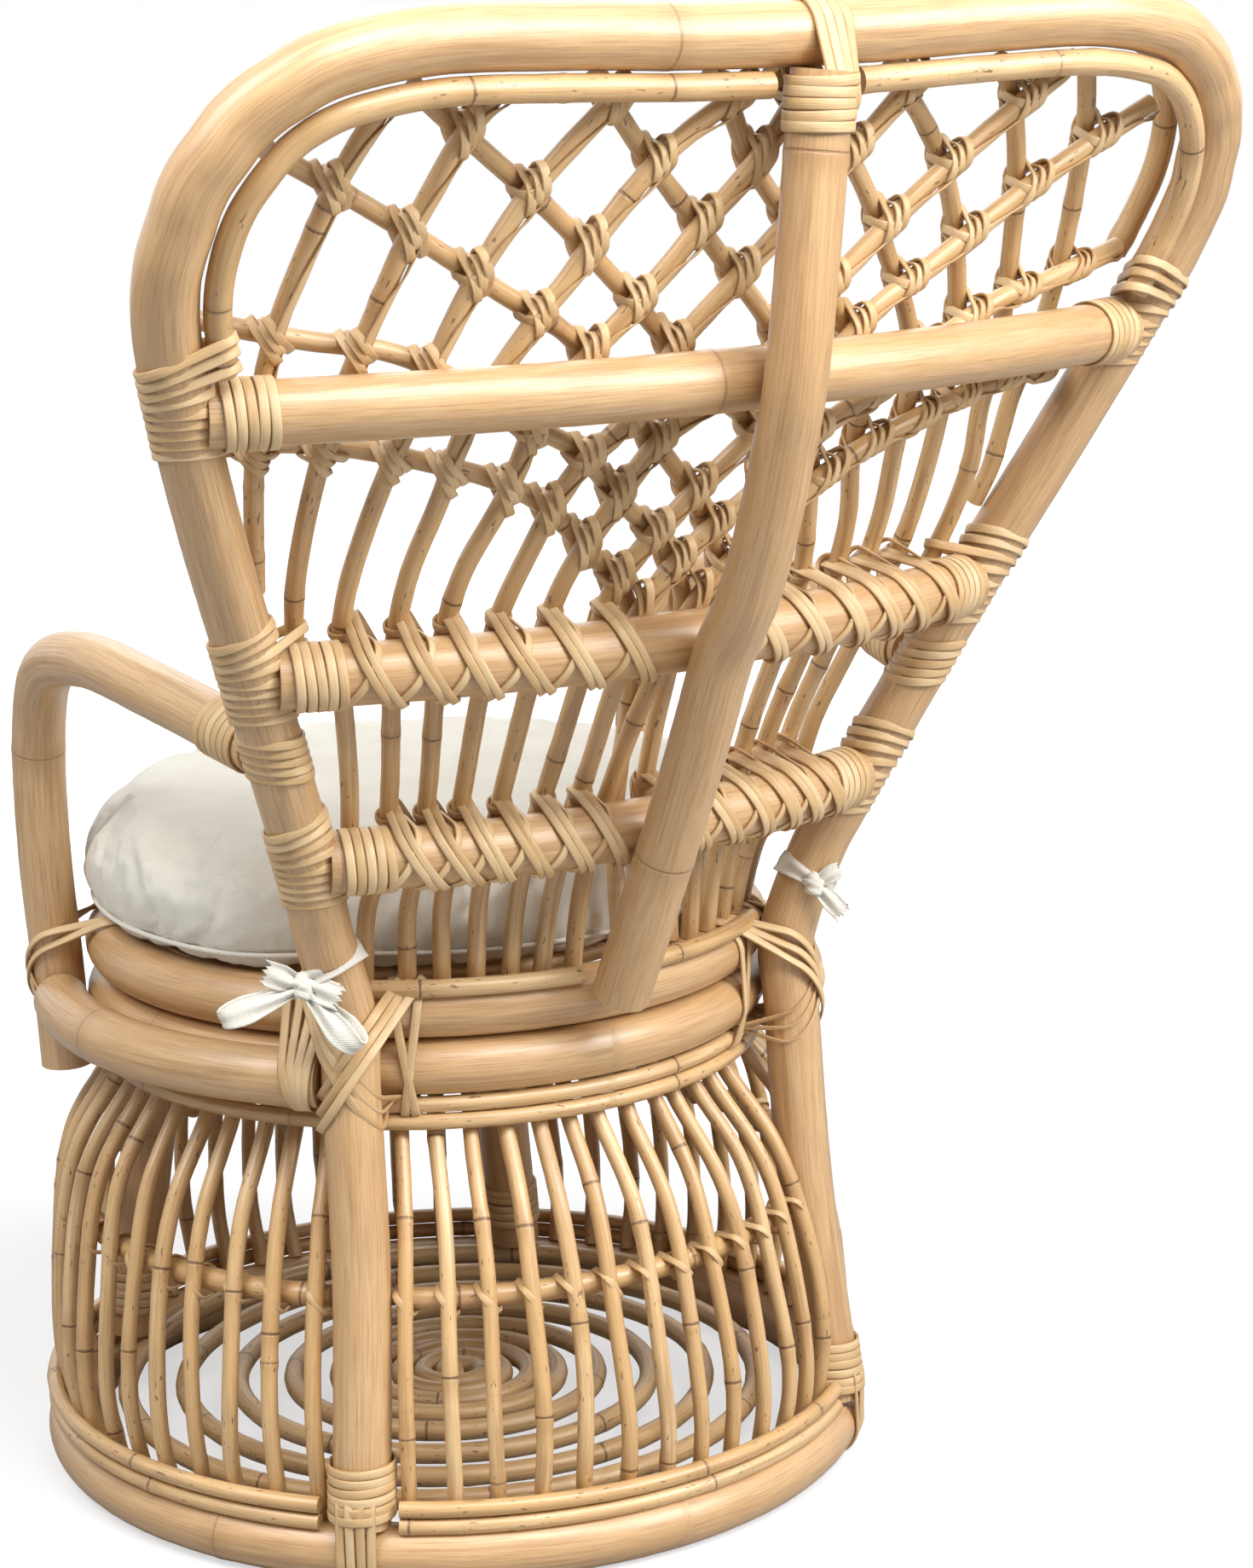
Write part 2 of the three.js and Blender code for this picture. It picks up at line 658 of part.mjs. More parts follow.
function makeCages() {
  const rear = [];
  const half = (rearSpindles + 1) / 2;
  for (let i = 1 - half; i < half; i++) rear.push(i / half);
  makeCage("spindles_rear", rear, false);
  const front = [];
  for (let i = 0; i < frontSpindles; i++) {
    const taken = i === spindlesBeforeLeg || i === frontSpindles - 1 - spindlesBeforeLeg;
    if (!taken) front.push((i + 1) / (frontSpindles + 1));
  }
  makeCage("spindles_front", front, true);
}

// A front leg in a spindle's place, cut level over the floor spiral and under the seat rings.
function makeLeg(name, mirrored) {
  const low = floorHeight + floorCaneRadius + clearance;
  const high = lowerRingHeight - poleRadius - clearance;
  const legShare = (spindlesBeforeLeg + 1) / (frontSpindles + 1);
  const axisAt = (height, radius) => {
    const angle = frontAngle(legShare, height);
    const y = drumCentreY(height) + Math.cos(angle) * radius;
    return new THREE.Vector3(Math.sin(angle) * radius, y, height);
  };
  const foot = axisAt(low, baseRingRadius - poleRadius);
  const head = axisAt(high, seatRingRadius - poleRadius - clearance);
  const slope = head.clone().sub(foot).divideScalar(high - low);
  const start = foot.clone().addScaledVector(slope, -low);
  const [acrossX, acrossY] = [new THREE.Vector3(1, 0, 0), new THREE.Vector3(0, 1, 0)];
  const upright = new THREE.LineCurve3(new THREE.Vector3(0, 0, low), new THREE.Vector3(0, 0, high));
  const leg = poleAlong(upright, poleRadius, poleSides, 1);
  leg.applyMatrix4(new THREE.Matrix4().makeBasis(acrossX, acrossY, slope).setPosition(start));
  addPiece(name, leg, poleLook, mirrored);
}

// Trims outside the foot and the top of the spindles, and on the upper seat ring.
function makeTrims() {
  const reach = poleRadius + trimRadius + clearance * 2;
  const axisHeight = poleRadius - baseFlatDepth;
  const lowHeight = axisHeight + Math.sqrt(reach ** 2 - lowerTrimOffset ** 2);
  const lowRadius = baseRingRadius + lowerTrimOffset;
  const postGap = (poleRadius + trimRadius + braceEndGap) / lowRadius;
  const heights = [lowHeight, lowHeight + trimRadius * 2 + clearance];
  heights.forEach((height, i) => {
    const label = i ? "upper" : "lower";
    const post = postAngle(height);
    const radius = lowRadius + i * clearance;
    const rear = arc(radius, postGap - post, post - postGap, height, trimRadius, thinSides, 11);
    addPiece("foot_trim_rear_" + label, rear, caneLook);
    const start = post + postGap;
    const front = arc(radius, start, fullTurn - start, height, trimRadius, thinSides, 28);
    addPiece("foot_trim_front_" + label, front, caneLook);
  });
  const underHeight = lowerRingHeight - Math.sqrt(reach ** 2 - underTrimOffset ** 2);
  const underRadius = seatRingRadius + underTrimOffset;
  [underHeight, underHeight - trimRadius * 2 - clearance].forEach((height, i) => {
    const ring = new THREE.TorusGeometry(underRadius + i, trimRadius, thinSides, 32);
    ring.translate(0, seatCentreY, height);
    addPiece(i ? "seat_trim_lower" : "seat_trim_upper", ring, caneLook);
  });
  const topReach = poleRadius + topTrimRadius + clearance - caneSettle;
  const topHeight = seatRingHeight + Math.sqrt(topReach ** 2 - topTrimOffset ** 2);
  const topRadius = seatRingRadius + topTrimOffset;
  const from = (poleRadius + braceEndGap) / topRadius;
  const to = postAngle(topHeight) - (poleRadius - topTrimRadius) / topRadius;
  const trim = arc(topRadius, from, to, topHeight, topTrimRadius, caneSides, 6);
  addPiece("back_trim_left", trim, caneLook);
  addPiece("back_trim_right", trim, caneLook, true);
}

// Least gap of a wound cane to itself, measured on its points a half turn or more apart.
function selfGap(curve, steps, perTurn, radius) {
  const points = curve.getSpacedPoints(steps * 4);
  const apart = Math.round(perTurn * 4 * 0.6);
  let least = Infinity;
  for (let i = 0; i < points.length; i++) {
    for (let j = i + apart; j < points.length; j++) {
      least = Math.min(least, points[i].distanceTo(points[j]));
    }
  }
  return least - radius * 2;
}

// A flat spiral as one unbroken cane.
function spiral(name, radiusAt, turns, centreY, height, radius, perTurn, sides) {
  const steps = Math.round(turns * perTurn);
  const curve = new StepCurve((t) => {
    const angle = t * turns * fullTurn;
    const r = radiusAt(t);
    return new THREE.Vector3(Math.sin(angle) * r, centreY + Math.cos(angle) * r, height);
  });
  addPiece(name, poleAlong(curve, radius, sides, steps), caneLook);
  console.log(name, "least gap to itself", selfGap(curve, steps, perTurn, radius).toFixed(2));
}

function makeSpirals() {
  const floorRadius = (t) => lookUp(floorShares, t, 1) * floorOuterRadius;
  spiral("floor_spiral", floorRadius, floorTurns, 0, floorHeight, floorCaneRadius, 16, thinSides);
  const deckReach = poleRadius + deckCaneRadius + clearance - caneSettle * 2;
  const deckOuter = seatRingRadius - Math.sqrt(deckReach ** 2 - deckLift ** 2);
  const deckRadius = (t) => deckHubRadius + (deckOuter - deckHubRadius) * t;
  const deckHeight = seatRingHeight + deckLift;
  spiral("seat_deck", deckRadius, deckTurns, seatCentreY, deckHeight, deckCaneRadius, 14, thinSides);
}

// A strip wound round the post about a height, as one unbroken cane.
function winding(name, height, turns) {
  const low = postAt(height - (turns * stripPitch) / 2);
  const high = postAt(height + (turns * stripPitch) / 2);
  const axis = high.clone().sub(low).normalize();
  const side = new THREE.Vector3(0, 1, 0).cross(axis).normalize();
  const other = axis.clone().cross(side);
  const perTurn = 9;
  const curve = new StepCurve((t) => {
    const centre = postAt(height + (t - 0.5) * turns * stripPitch);
    const turn = t * turns * fullTurn;
    return centre
      .addScaledVector(side, Math.cos(turn) * stripAxisRadius)
      .addScaledVector(other, Math.sin(turn) * stripAxisRadius);
  });
  const steps = turns * perTurn;
  console.log(name, "least gap to itself", selfGap(curve, steps, perTurn, stripRadius).toFixed(2));
  return solidOf(poleAlong(curve, stripRadius, thinSides, steps));
}

function makeWindings() {
  ["low", "middle", "top"].forEach((label, i) => {
    const name = "winding_rail_" + label;
    const wound = winding(name, railHeights[i], railTurns[i]);
    addPiece(name + "_left", wound, stripLook);
    addPiece(name + "_right", wound, stripLook, true);
  });
  const atArm = winding("winding_arm", armJointHeight, armTurns);
  addPiece("winding_arm_left", atArm, stripLook);
  addPiece("winding_arm_right", atArm, stripLook, true);
}

// The round cushion, drawn in at the rear where the canes stand.
function makeCushion() {
  const profile = [new THREE.Vector2(0, 0)];
  for (const [r, z] of cushionShares) {
    profile.push(new THREE.Vector2(r * cushionRadius, z * cushionThickness));
  }
  profile.push(new THREE.Vector2(0, cushionThickness));
  const shape = new THREE.LatheGeometry(profile, 38);
  shape.rotateX(Math.PI / 2);
  const rearRadius = caneFootRadius - caneRadius - cushionEase;
  const places = shape.attributes.position;
  for (let i = 0; i < places.count; i++) {
    const [x, y] = [places.getX(i), places.getY(i)];
    const angle = Math.abs(Math.atan2(x, y));
    const reach = lookUp(rearCushionShares, angle, 1);
    const scale = (rearRadius + (cushionRadius - rearRadius) * reach) / cushionRadius;
    places.setXY(i, x * scale, y * scale);
  }
  shape.translate(0, seatCentreY, seatTop + clearance);
  addPiece("seat_cushion", shape, clothLook);
}

// A cloth tie: a band round the post with its knot.
function makeTie(name, mirrored) {
  const centre = postAt(tieHeight);
  const axis = postAt(tieHeight + tieWidth).sub(postAt(tieHeight - tieWidth)).normalize();
  const inner = poleRadius + clearance * 8;
  const outer = inner + tieThickness;
  const half = tieWidth / 2;
  const profile = [
    new THREE.Vector2(inner, -half),
    new THREE.Vector2(outer, -half),
    new THREE.Vector2(outer, half),
    new THREE.Vector2(inner, half),
    new THREE.Vector2(inner, -half),
  ];
  const band = new THREE.LatheGeometry(profile, 16);
  const lean = new THREE.Quaternion().setFromUnitVectors(new THREE.Vector3(0, 1, 0), axis);
  band.applyQuaternion(lean);
  band.translate(centre.x, centre.y, centre.z);
  const knot = new THREE.SphereGeometry(knotRadius, 8, 5);
  const outward = new THREE.Vector3(centre.x, centre.y - seatCentreY, 0).normalize();
  const knotPlace = centre.clone().addScaledVector(outward, outer + knotRadius * 0.75);
  knot.translate(knotPlace.x, knotPlace.y, knotPlace.z);
  addPiece(name, solidOf(band).add(solidOf(knot)), clothLook, mirrored);
}

makeBaseRing();
makeSeatRing("seat_ring_upper", seatRingHeight);
makeSeatRing("seat_ring_lower", lowerRingHeight);
addPiece("back_hoop", poleAlong(hoopCurve, poleRadius, poleSides, 52), poleLook);
makeSpine();
makeRail("rail_low", railHeights[0]);
makeRail("rail_middle", railHeights[1]);
makeRail("rail_top", railHeights[2]);
makeArm("arm_left", false);
makeArm("arm_right", true);
makeBrace("side_brace_left", false);
makeBrace("side_brace_right", true);
caneShares.forEach((row, i) => makeBackCane(i, false));
caneShares.forEach((row, i) => makeBackCane(i, true));
makeFrameCanes();
makeCages();
makeLeg("front_leg_left", false);
makeLeg("front_leg_right", true);
makeTrims();
makeSpirals();
makeWindings();
makeCushion();
makeTie("cushion_tie_left", false);
makeTie("cushion_tie_right", true);

// The origin goes to the middle of the footprint, on the floor.
const box = new THREE.Box3().setFromObject(chair, true);
const middle = box.getCenter(new THREE.Vector3());
chair.position.set(-middle.x, -middle.y, -box.min.z);

export default chair;
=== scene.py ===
import math
import random
from functools import partial

import bmesh
import bpy
import numpy as np
from mathutils import Matrix, Vector


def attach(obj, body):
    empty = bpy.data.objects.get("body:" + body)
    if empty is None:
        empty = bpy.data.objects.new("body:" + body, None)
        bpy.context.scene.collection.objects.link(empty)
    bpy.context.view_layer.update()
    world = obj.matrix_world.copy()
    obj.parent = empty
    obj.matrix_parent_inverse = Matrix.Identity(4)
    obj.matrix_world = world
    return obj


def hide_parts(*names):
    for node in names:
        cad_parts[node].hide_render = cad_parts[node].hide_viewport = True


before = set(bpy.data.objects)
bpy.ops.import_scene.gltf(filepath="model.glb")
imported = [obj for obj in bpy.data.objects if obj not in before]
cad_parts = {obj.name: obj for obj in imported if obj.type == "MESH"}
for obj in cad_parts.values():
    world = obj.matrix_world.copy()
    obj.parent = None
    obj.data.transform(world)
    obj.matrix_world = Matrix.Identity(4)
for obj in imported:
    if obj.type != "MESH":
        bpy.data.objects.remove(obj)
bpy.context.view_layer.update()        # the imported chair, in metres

print("frame loaded:", len(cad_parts), "nodes")

# Plans are in millimetres about the drum's axis; toWorld moves them into the frame.
shiftY = -77.335


def toWorld(points):
    return (np.asarray(points, float) + [0, shiftY, 0]) / 1000


# Curves and directions.

def throughPoints(q, perSpan, slopes):
    u = np.linspace(0, 1, perSpan, endpoint=False)[:, None]
    out = []
    for i in range(1, len(q) - 2):
        a, b, c, d = q[i - 1:i + 3]
        t1, t2 = slopes(a, b, c, d)
        out.append(b + t1 * u + (3 * (c - b) - 2 * t1 - t2) * u ** 2
                   + (2 * (b - c) + t1 + t2) * u ** 3)
    return np.vstack(out + [q[-2:-1]])


def spacedSlopes(a, b, c, d):
    ab, bc, cd = (max(np.linalg.norm(v) ** 0.5, 1e-6) for v in (b - a, c - b, d - c))
    return (((b - a) / ab - (c - a) / (ab + bc) + (c - b) / bc) * bc,
            ((c - b) / bc - (d - b) / (bc + cd) + (d - c) / cd) * bc)


def smoothThrough(points, perSpan=20):
    p = np.asarray(points, float)
    return throughPoints(np.vstack([2 * p[0] - p[1], p, 2 * p[-1] - p[-2]]), perSpan, spacedSlopes)


def plainThrough(points, perSpan):
    p = np.asarray(points, float)
    return throughPoints(np.vstack([p[0], p, p[-1]]), perSpan,
                         lambda a, b, c, d: ((c - a) / 2, (d - b) / 2))


def lengths(path):
    return np.concatenate([[0], np.cumsum(np.linalg.norm(np.diff(path, axis=0), axis=1))])


def rowsAt(rows, at, goal):
    return np.stack([np.interp(goal, at, column) for column in rows.T], axis=-1)


def pointAt(path, s):
    return rowsAt(path, lengths(path), s)


def evenly(path, count):
    at = lengths(path)
    return rowsAt(path, at, np.linspace(0, at[-1], count))


def unit(v):
    v = np.asarray(v, float)
    return v / max(np.linalg.norm(v), 1e-9)


def unitRows(v):
    return v / np.maximum(np.linalg.norm(v, axis=1, keepdims=True), 1e-9)


def tangents(path):
    return unitRows(np.gradient(path, axis=0))


def outwardAt(angle):
    return np.array([math.sin(angle), math.cos(angle), 0])


def asideAt(angle):
    return np.array([math.cos(angle), -math.sin(angle), 0])


def turnedFrom(one, other, angle):
    return one * math.cos(angle) + other * math.sin(angle)


def risingFrom(along, normal):
    upward = np.cross(along, normal)
    return upward if upward[2] > 0 else -upward


# The chair's plan: the same values as the solids have.

poles = {"pole": 19, "arm": 18, "cane": 6, "frame": 8, "spindle": 5.5, "midRing": 7.5, "trim": 5.5,
         "backTrim": 6, "floor": 7, "deck": 6}        # half of each thickness
rings = {"base": 271, "baseZ": 18.8, "seat": 219, "upperZ": 363, "lowerZ": 324.65,
         "brace": 257.35, "braceZ": 326.65, "midZ": 181, "trim": 226, "trimZ": 300.5, "setback": 24,
         "drumTop": 286.65}
seatY = -rings["setback"]
poleRadius = poles["pole"]
hoopHalf = [(189, 197, 36.95), (175, 182, 200), (172, 171.5, 325), (170.5, 168.7, 363),
            (193, 179, 432), (200, 186, 451), (207, 193, 469), (216, 201, 491), (255, 234, 581),
            (274, 251, 625), (308, 281, 700), (329, 301, 749), (341, 314, 779), (359, 335, 827),
            (365, 348, 855), (366, 357, 872), (363, 366, 891), (361, 373, 905), (356, 379, 918),
            (349, 386, 930), (340, 391, 943), (328, 398, 955), (317, 402, 962), (297, 408, 973),
            (240, 414, 984), (150, 413, 984), (60, 412, 981)]
hoop = evenly(smoothThrough(hoopHalf + [(-x, y, z) for x, y, z in reversed(hoopHalf)]), 801)
hoopTop = hoop[400]
railZ = [481.0, 612.0, 781.0]
armZ = 560.0
flip = np.array([-1, 1, 1])


def postAt(z):
    post = hoop[:270]        # the left half, up to its widest place
    return rowsAt(post, post[:, 2], z)


def postTangent(z):
    return unit(postAt(z + 8) - postAt(z - 8))


def drumY(z):
    return seatY * min(1, z / rings["drumTop"])


def postAngle(z):
    p = postAt(z)
    return math.atan2(p[0], p[1] - drumY(z))


def drumAngle(share, z, front):
    post = postAngle(z)
    return post + (2 * math.pi - 2 * post) * share if front else post * share


# Heights on the back are also given as shares of the whole height.
backSpan = {"low": 0.369654, "rise": 619}


def backZ(share):
    return rings["upperZ"] + (share - backSpan["low"]) / (1 - backSpan["low"]) * backSpan["rise"]


def backShare(z):
    return backSpan["low"] + (z - rings["upperZ"]) / backSpan["rise"] * (1 - backSpan["low"])


shellZ = [382, 491, 620, 779, 965]
shellRows = {"half": [175, 222, 277, 347, 300], "edge": [166, 201, 251, 314, 407],
             "mid": [199, 247, 308, 380, 411]}


def shellDepth(x, z):
    half, edge, mid = (np.interp(z, shellZ, shellRows[k]) for k in ("half", "edge", "mid"))
    return edge + (mid - edge) * (1 - (x / half) ** 2)


def shellNormal(x, z, step=24.55):
    rise = (shellDepth(x, z + step) - shellDepth(x, z - step)) / (2 * step)
    turn = (shellDepth(x + step, z) - shellDepth(x - step, z)) / (2 * step)
    return unit([-turn, 1, -rise])


def around(radius, angle, z, centreY=None):
    y = drumY(z) if centreY is None else centreY
    return np.array([math.sin(angle) * radius, y + math.cos(angle) * radius, z])


def arcPath(radius, start, end, z, step=4):
    count = max(4, int(abs(end - start) * radius / step))
    return np.array([around(radius, a, z) for a in np.linspace(start, end, count + 1)])


# Geometry Nodes: one tree sweeps poles and canes, another sweeps flat strips.

def plug(tree, slot, value):
    if isinstance(value, bpy.types.NodeSocket):
        tree.links.new(value, slot)
    else:
        slot.default_value = value


def addNode(tree, kind, values=None, **settings):
    made = tree.nodes.new(kind)
    for key, value in settings.items():
        setattr(made, key, value)
    for key, value in (values or {}).items():
        plug(tree, made.inputs[key], value)
    return made


def sums(tree, operation, *values):
    return addNode(tree, "ShaderNodeMath", dict(enumerate(values)), operation=operation).outputs[0]


def stretched(tree, vector, *factors):
    return addNode(tree, "ShaderNodeVectorMath", {0: vector, 1: factors},
                   operation="MULTIPLY").outputs[0]


def joined(tree, *parts):
    return addNode(tree, "ShaderNodeCombineXYZ", dict(enumerate(parts))).outputs[0]


def apart(tree, vector):
    return addNode(tree, "ShaderNodeSeparateXYZ", {"Vector": vector}).outputs


def ranged(tree, value, low, high, outLow=0.0, outHigh=1.0, smooth=False):
    return addNode(tree, "ShaderNodeMapRange", {
        "Value": value, "From Min": low, "From Max": high, "To Min": outLow, "To Max": outHigh},
        interpolation_type="SMOOTHSTEP" if smooth else "LINEAR").outputs[0]


def jointDistance(tree, along, spacing, seed):
    u = sums(tree, "ADD", sums(tree, "DIVIDE", along, spacing), seed)
    cell = sums(tree, "FLOOR", u)
    noise = addNode(tree, "ShaderNodeTexWhiteNoise", {"W": sums(tree, "ADD", cell, seed)},
                    noise_dimensions="1D")
    middle = sums(tree, "MULTIPLY_ADD", noise.outputs["Value"], 0.5, 0.25)
    off = sums(tree, "ABSOLUTE", sums(tree, "SUBTRACT", sums(tree, "FRACT", u), middle))
    return sums(tree, "MULTIPLY", off, spacing)


def startTree(name, inputs):
    tree = bpy.data.node_groups.new(name, "GeometryNodeTree")
    tree.interface.new_socket("Geometry", in_out="INPUT", socket_type="NodeSocketGeometry")
    for label, kind, value in inputs:
        made = tree.interface.new_socket(label, in_out="INPUT", socket_type="NodeSocket" + kind)
        if value is not None:
            made.default_value = value
    tree.interface.new_socket("Geometry", in_out="OUTPUT", socket_type="NodeSocketGeometry")
    return tree, tree.nodes.new("NodeGroupInput"), tree.nodes.new("NodeGroupOutput")


def endTree(tree, geometry, material, groupOut):
    smooth = addNode(tree, "GeometryNodeSetShadeSmooth", {"Geometry": geometry})
    real = addNode(tree, "GeometryNodeRealizeInstances", {"Geometry": smooth.outputs[0]})
    dressed = addNode(tree, "GeometryNodeSetMaterial",
                      {"Geometry": real.outputs[0], "Material": material})
    tree.links.new(dressed.outputs[0], groupOut.inputs[0])


def storeOn(tree, geometry, name, kind, value):
    made = addNode(tree, "GeometryNodeStoreNamedAttribute", {"Geometry": geometry, "Name": name},
                   data_type=kind, domain="POINT")
    tree.links.new(value, made.inputs["Value"])
    return made.outputs[0]


def readOf(tree, name, kind="FLOAT"):
    return addNode(tree, "GeometryNodeInputNamedAttribute", {"Name": name},
                   data_type=kind).outputs["Attribute"]


def fineCurve(tree, start):
    line = addNode(tree, "GeometryNodeMeshToCurve", {"Mesh": start.outputs["Geometry"]})
    return addNode(tree, "GeometryNodeResampleCurve", {
        "Curve": line.outputs[0], "Length": start.outputs["Step"]}, mode="LENGTH").outputs[0]


def markedAlong(tree, curve):
    place = tree.nodes.new("GeometryNodeSplineParameter")
    return storeOn(tree, curve, "along", "FLOAT", place.outputs["Length"])


def roundProfile(tree, corners):
    circle = addNode(tree, "GeometryNodeCurvePrimitiveCircle",
                     {"Resolution": corners, "Radius": 1.0})
    return circle.outputs[0], tree.nodes.new("GeometryNodeInputPosition").outputs[0]


def sweptMesh(tree, curve, profile, size):
    return addNode(tree, "GeometryNodeCurveToMesh", {
        "Curve": curve, "Profile Curve": profile, "Scale": size, "Fill Caps": True}).outputs[0]


def makeCaneTree():
    tree, start, finish = startTree("caneSweep", [
        ("Step", "Float", 0.005), ("Sides", "Int", 12), ("Joint Spacing", "Float", 0.22),
        ("Joint Rise", "Float", 0.03), ("Unevenness", "Float", 0.02),
        ("Material", "Material", None)])
    op = partial(sums, tree)
    curve = markedAlong(tree, fineCurve(tree, start))
    seed, along = readOf(tree, "seed"), readOf(tree, "along")
    off = jointDistance(tree, along, start.outputs["Joint Spacing"], seed)
    near = ranged(tree, off, 0.0, 0.009, 1.0, 0.0, True)
    wander = addNode(tree, "ShaderNodeTexNoise", {
        "W": op("ADD", op("MULTIPLY", along, 14.0), op("MULTIPLY", seed, 31.0)), "Detail": 1.0},
        noise_dimensions="1D").outputs[0]
    swell = op("MULTIPLY_ADD", near, start.outputs["Joint Rise"], 1.0)
    uneven = op("MULTIPLY", op("SUBTRACT", wander, 0.5), start.outputs["Unevenness"])
    size = op("MULTIPLY", readOf(tree, "thick"), op("ADD", swell, uneven))
    circle, spot = roundProfile(tree, start.outputs["Sides"])
    rim = storeOn(tree, circle, "aroundPole", "FLOAT_VECTOR", spot)
    endTree(tree, sweptMesh(tree, curve, rim, size), start.outputs["Material"], finish)
    return tree


def makeStripTree():
    tree, start, finish = startTree("stripSweep", [
        ("Step", "Float", 0.003), ("Width", "Float", 0.006), ("Thickness", "Float", 0.0018),
        ("Corners", "Int", 8), ("Material", "Material", None)])
    op = partial(sums, tree)
    facing = addNode(tree, "GeometryNodeSetCurveNormal", {
        "Curve": fineCurve(tree, start), "Normal": readOf(tree, "outward", "FLOAT_VECTOR")},
        mode="FREE")
    curve = markedAlong(tree, facing.outputs[0])
    circle, spot = roundProfile(tree, start.outputs["Corners"])
    turned = addNode(tree, "GeometryNodeTransform",
                     {"Geometry": circle, "Rotation": (0, 0, math.pi / 8)})
    boxed = joined(tree, *(
        op("MULTIPLY", op("SIGN", side), op("POWER", op("ABSOLUTE", side), power))
        for side, power in zip(apart(tree, spot), (0.6, 0.45))))        # rounded oblong
    turned = addNode(tree, "GeometryNodeSetPosition",
                     {"Geometry": turned.outputs[0], "Position": boxed})
    rim = storeOn(tree, turned.outputs[0], "acrossStrip", "FLOAT_VECTOR", boxed)
    flat = joined(tree, op("MULTIPLY", start.outputs["Thickness"], 0.54),
                  op("MULTIPLY", start.outputs["Width"], 0.52), 1)
    squeezed = addNode(tree, "GeometryNodeTransform", {"Geometry": rim, "Scale": flat})
    endTree(tree, sweptMesh(tree, curve, squeezed.outputs[0], readOf(tree, "thick")),
            start.outputs["Material"], finish)
    return tree


caneTree = makeCaneTree()
stripTree = makeStripTree()
dice = random.Random(7)
sceneRoot = bpy.context.scene.collection


def newObject(name, data):
    made = bpy.data.objects.new(name, data)
    sceneRoot.objects.link(made)
    return made


def storeVectors(mesh, name, values, domain="POINT"):
    mesh.attributes.new(name, "FLOAT_VECTOR", domain).data.foreach_set(
        "vector", np.asarray(values, np.float32).ravel())


def polyline(name, lines):
    verts, edges, outward = [], [], []
    marks = {"thick": [], "seed": [], "tone": []}
    for line in lines:
        points = toWorld(line["path"])
        base, count = len(verts), len(points)
        verts.extend(points.tolist())
        edges.extend((base + i, base + i + 1) for i in range(count - 1))
        if line.get("closed"):
            edges.append((base + count - 1, base))
        usual = {"thick": 1.0, "seed": dice.random() * 9, "tone": dice.uniform(-1, 1)}
        for label, values in marks.items():
            values.extend([line.get(label, usual[label])] * count)
        outward.extend(np.asarray(line.get("outward", [(0, 0, 1)] * count), float).tolist())
    mesh = bpy.data.meshes.new(name)
    mesh.from_pydata(verts, edges, [])
    for label, values in marks.items():
        mesh.attributes.new(label, "FLOAT", "POINT").data.foreach_set("value", values)
    storeVectors(mesh, "outward", outward)
    return newObject(name, mesh)


def applied(obj):
    bpy.context.view_layer.update()
    result = bpy.data.meshes.new_from_object(
        obj.evaluated_get(bpy.context.evaluated_depsgraph_get()))
    obj.modifiers.clear()
    old = obj.data
    obj.data = result
    bpy.data.meshes.remove(old)
    result.name = obj.name
    return obj


def runTree(obj, tree, values):
    modifier = obj.modifiers.new("sweep", "NODES")
    modifier.node_group = tree
    for item in tree.interface.items_tree:
        if item.item_type == "SOCKET" and item.in_out == "INPUT" and item.name in values:
            modifier[item.identifier] = values[item.name]
    return applied(obj)


def finishPiece(obj, nodes=()):
    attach(obj, "root")
    if nodes:
        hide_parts(*nodes)
    return obj


def canes(name, lines, nodes, kind="cane", step=0.005, sides=12, spacing=0.22, rise=0.03,
          unevenness=0.02):
    obj = runTree(polyline(name, lines), caneTree, {
        "Step": step, "Sides": sides, "Joint Spacing": spacing, "Joint Rise": rise,
        "Unevenness": unevenness, "Material": rattan[kind]})
    obj.data.set_sharp_from_angle(angle=math.radians(50))
    return finishPiece(obj, nodes)


def cane(name, path, radius, node, sweep, **extra):
    return canes(name, [{"path": path, "thick": radius / 1000, **extra}], [node], **sweep)


def strips(name, lines, nodes=(), width=0.006, thickness=0.0018, step=0.003, corners=8):
    obj = runTree(polyline(name, lines), stripTree, {
        "Step": step, "Width": width, "Thickness": thickness, "Corners": corners,
        "Material": wrapMaterial})
    return finishPiece(obj, nodes)


# Finishes.

def newMaterial(name):
    made = bpy.data.materials.new(name)
    made.use_nodes = True
    return made, made.node_tree, made.node_tree.nodes["Principled BSDF"]


def attribute(tree, name, part="Fac"):
    return addNode(tree, "ShaderNodeAttribute", attribute_name=name).outputs[part]


def noiseOf(tree, vector, scale, detail, rough):
    return addNode(tree, "ShaderNodeTexNoise", {"Vector": vector, "Scale": scale, "Detail": detail,
                                                "Roughness": rough}).outputs["Fac"]


def blended(tree, share, one, two):
    made = addNode(tree, "ShaderNodeMix", data_type="RGBA")
    for slot, value in zip((0, 6, 7), (share, one, two)):
        plug(tree, made.inputs[slot], (*value, 1) if isinstance(value, tuple) else value)
    return made.outputs[2]


def linear(r, g, b):
    return tuple((c / 255 / 12.92) if c / 255 <= 0.04045 else ((c / 255 + 0.055) / 1.055) ** 2.4
                 for c in (r, g, b))


def dressShader(tree, shader, height, depth, values):
    bump = addNode(tree, "ShaderNodeBump", {"Height": height, "Distance": depth, "Strength": 1.0})
    for label, value in {"Normal": bump.outputs[0], **values}.items():
        plug(tree, shader.inputs[label], value)


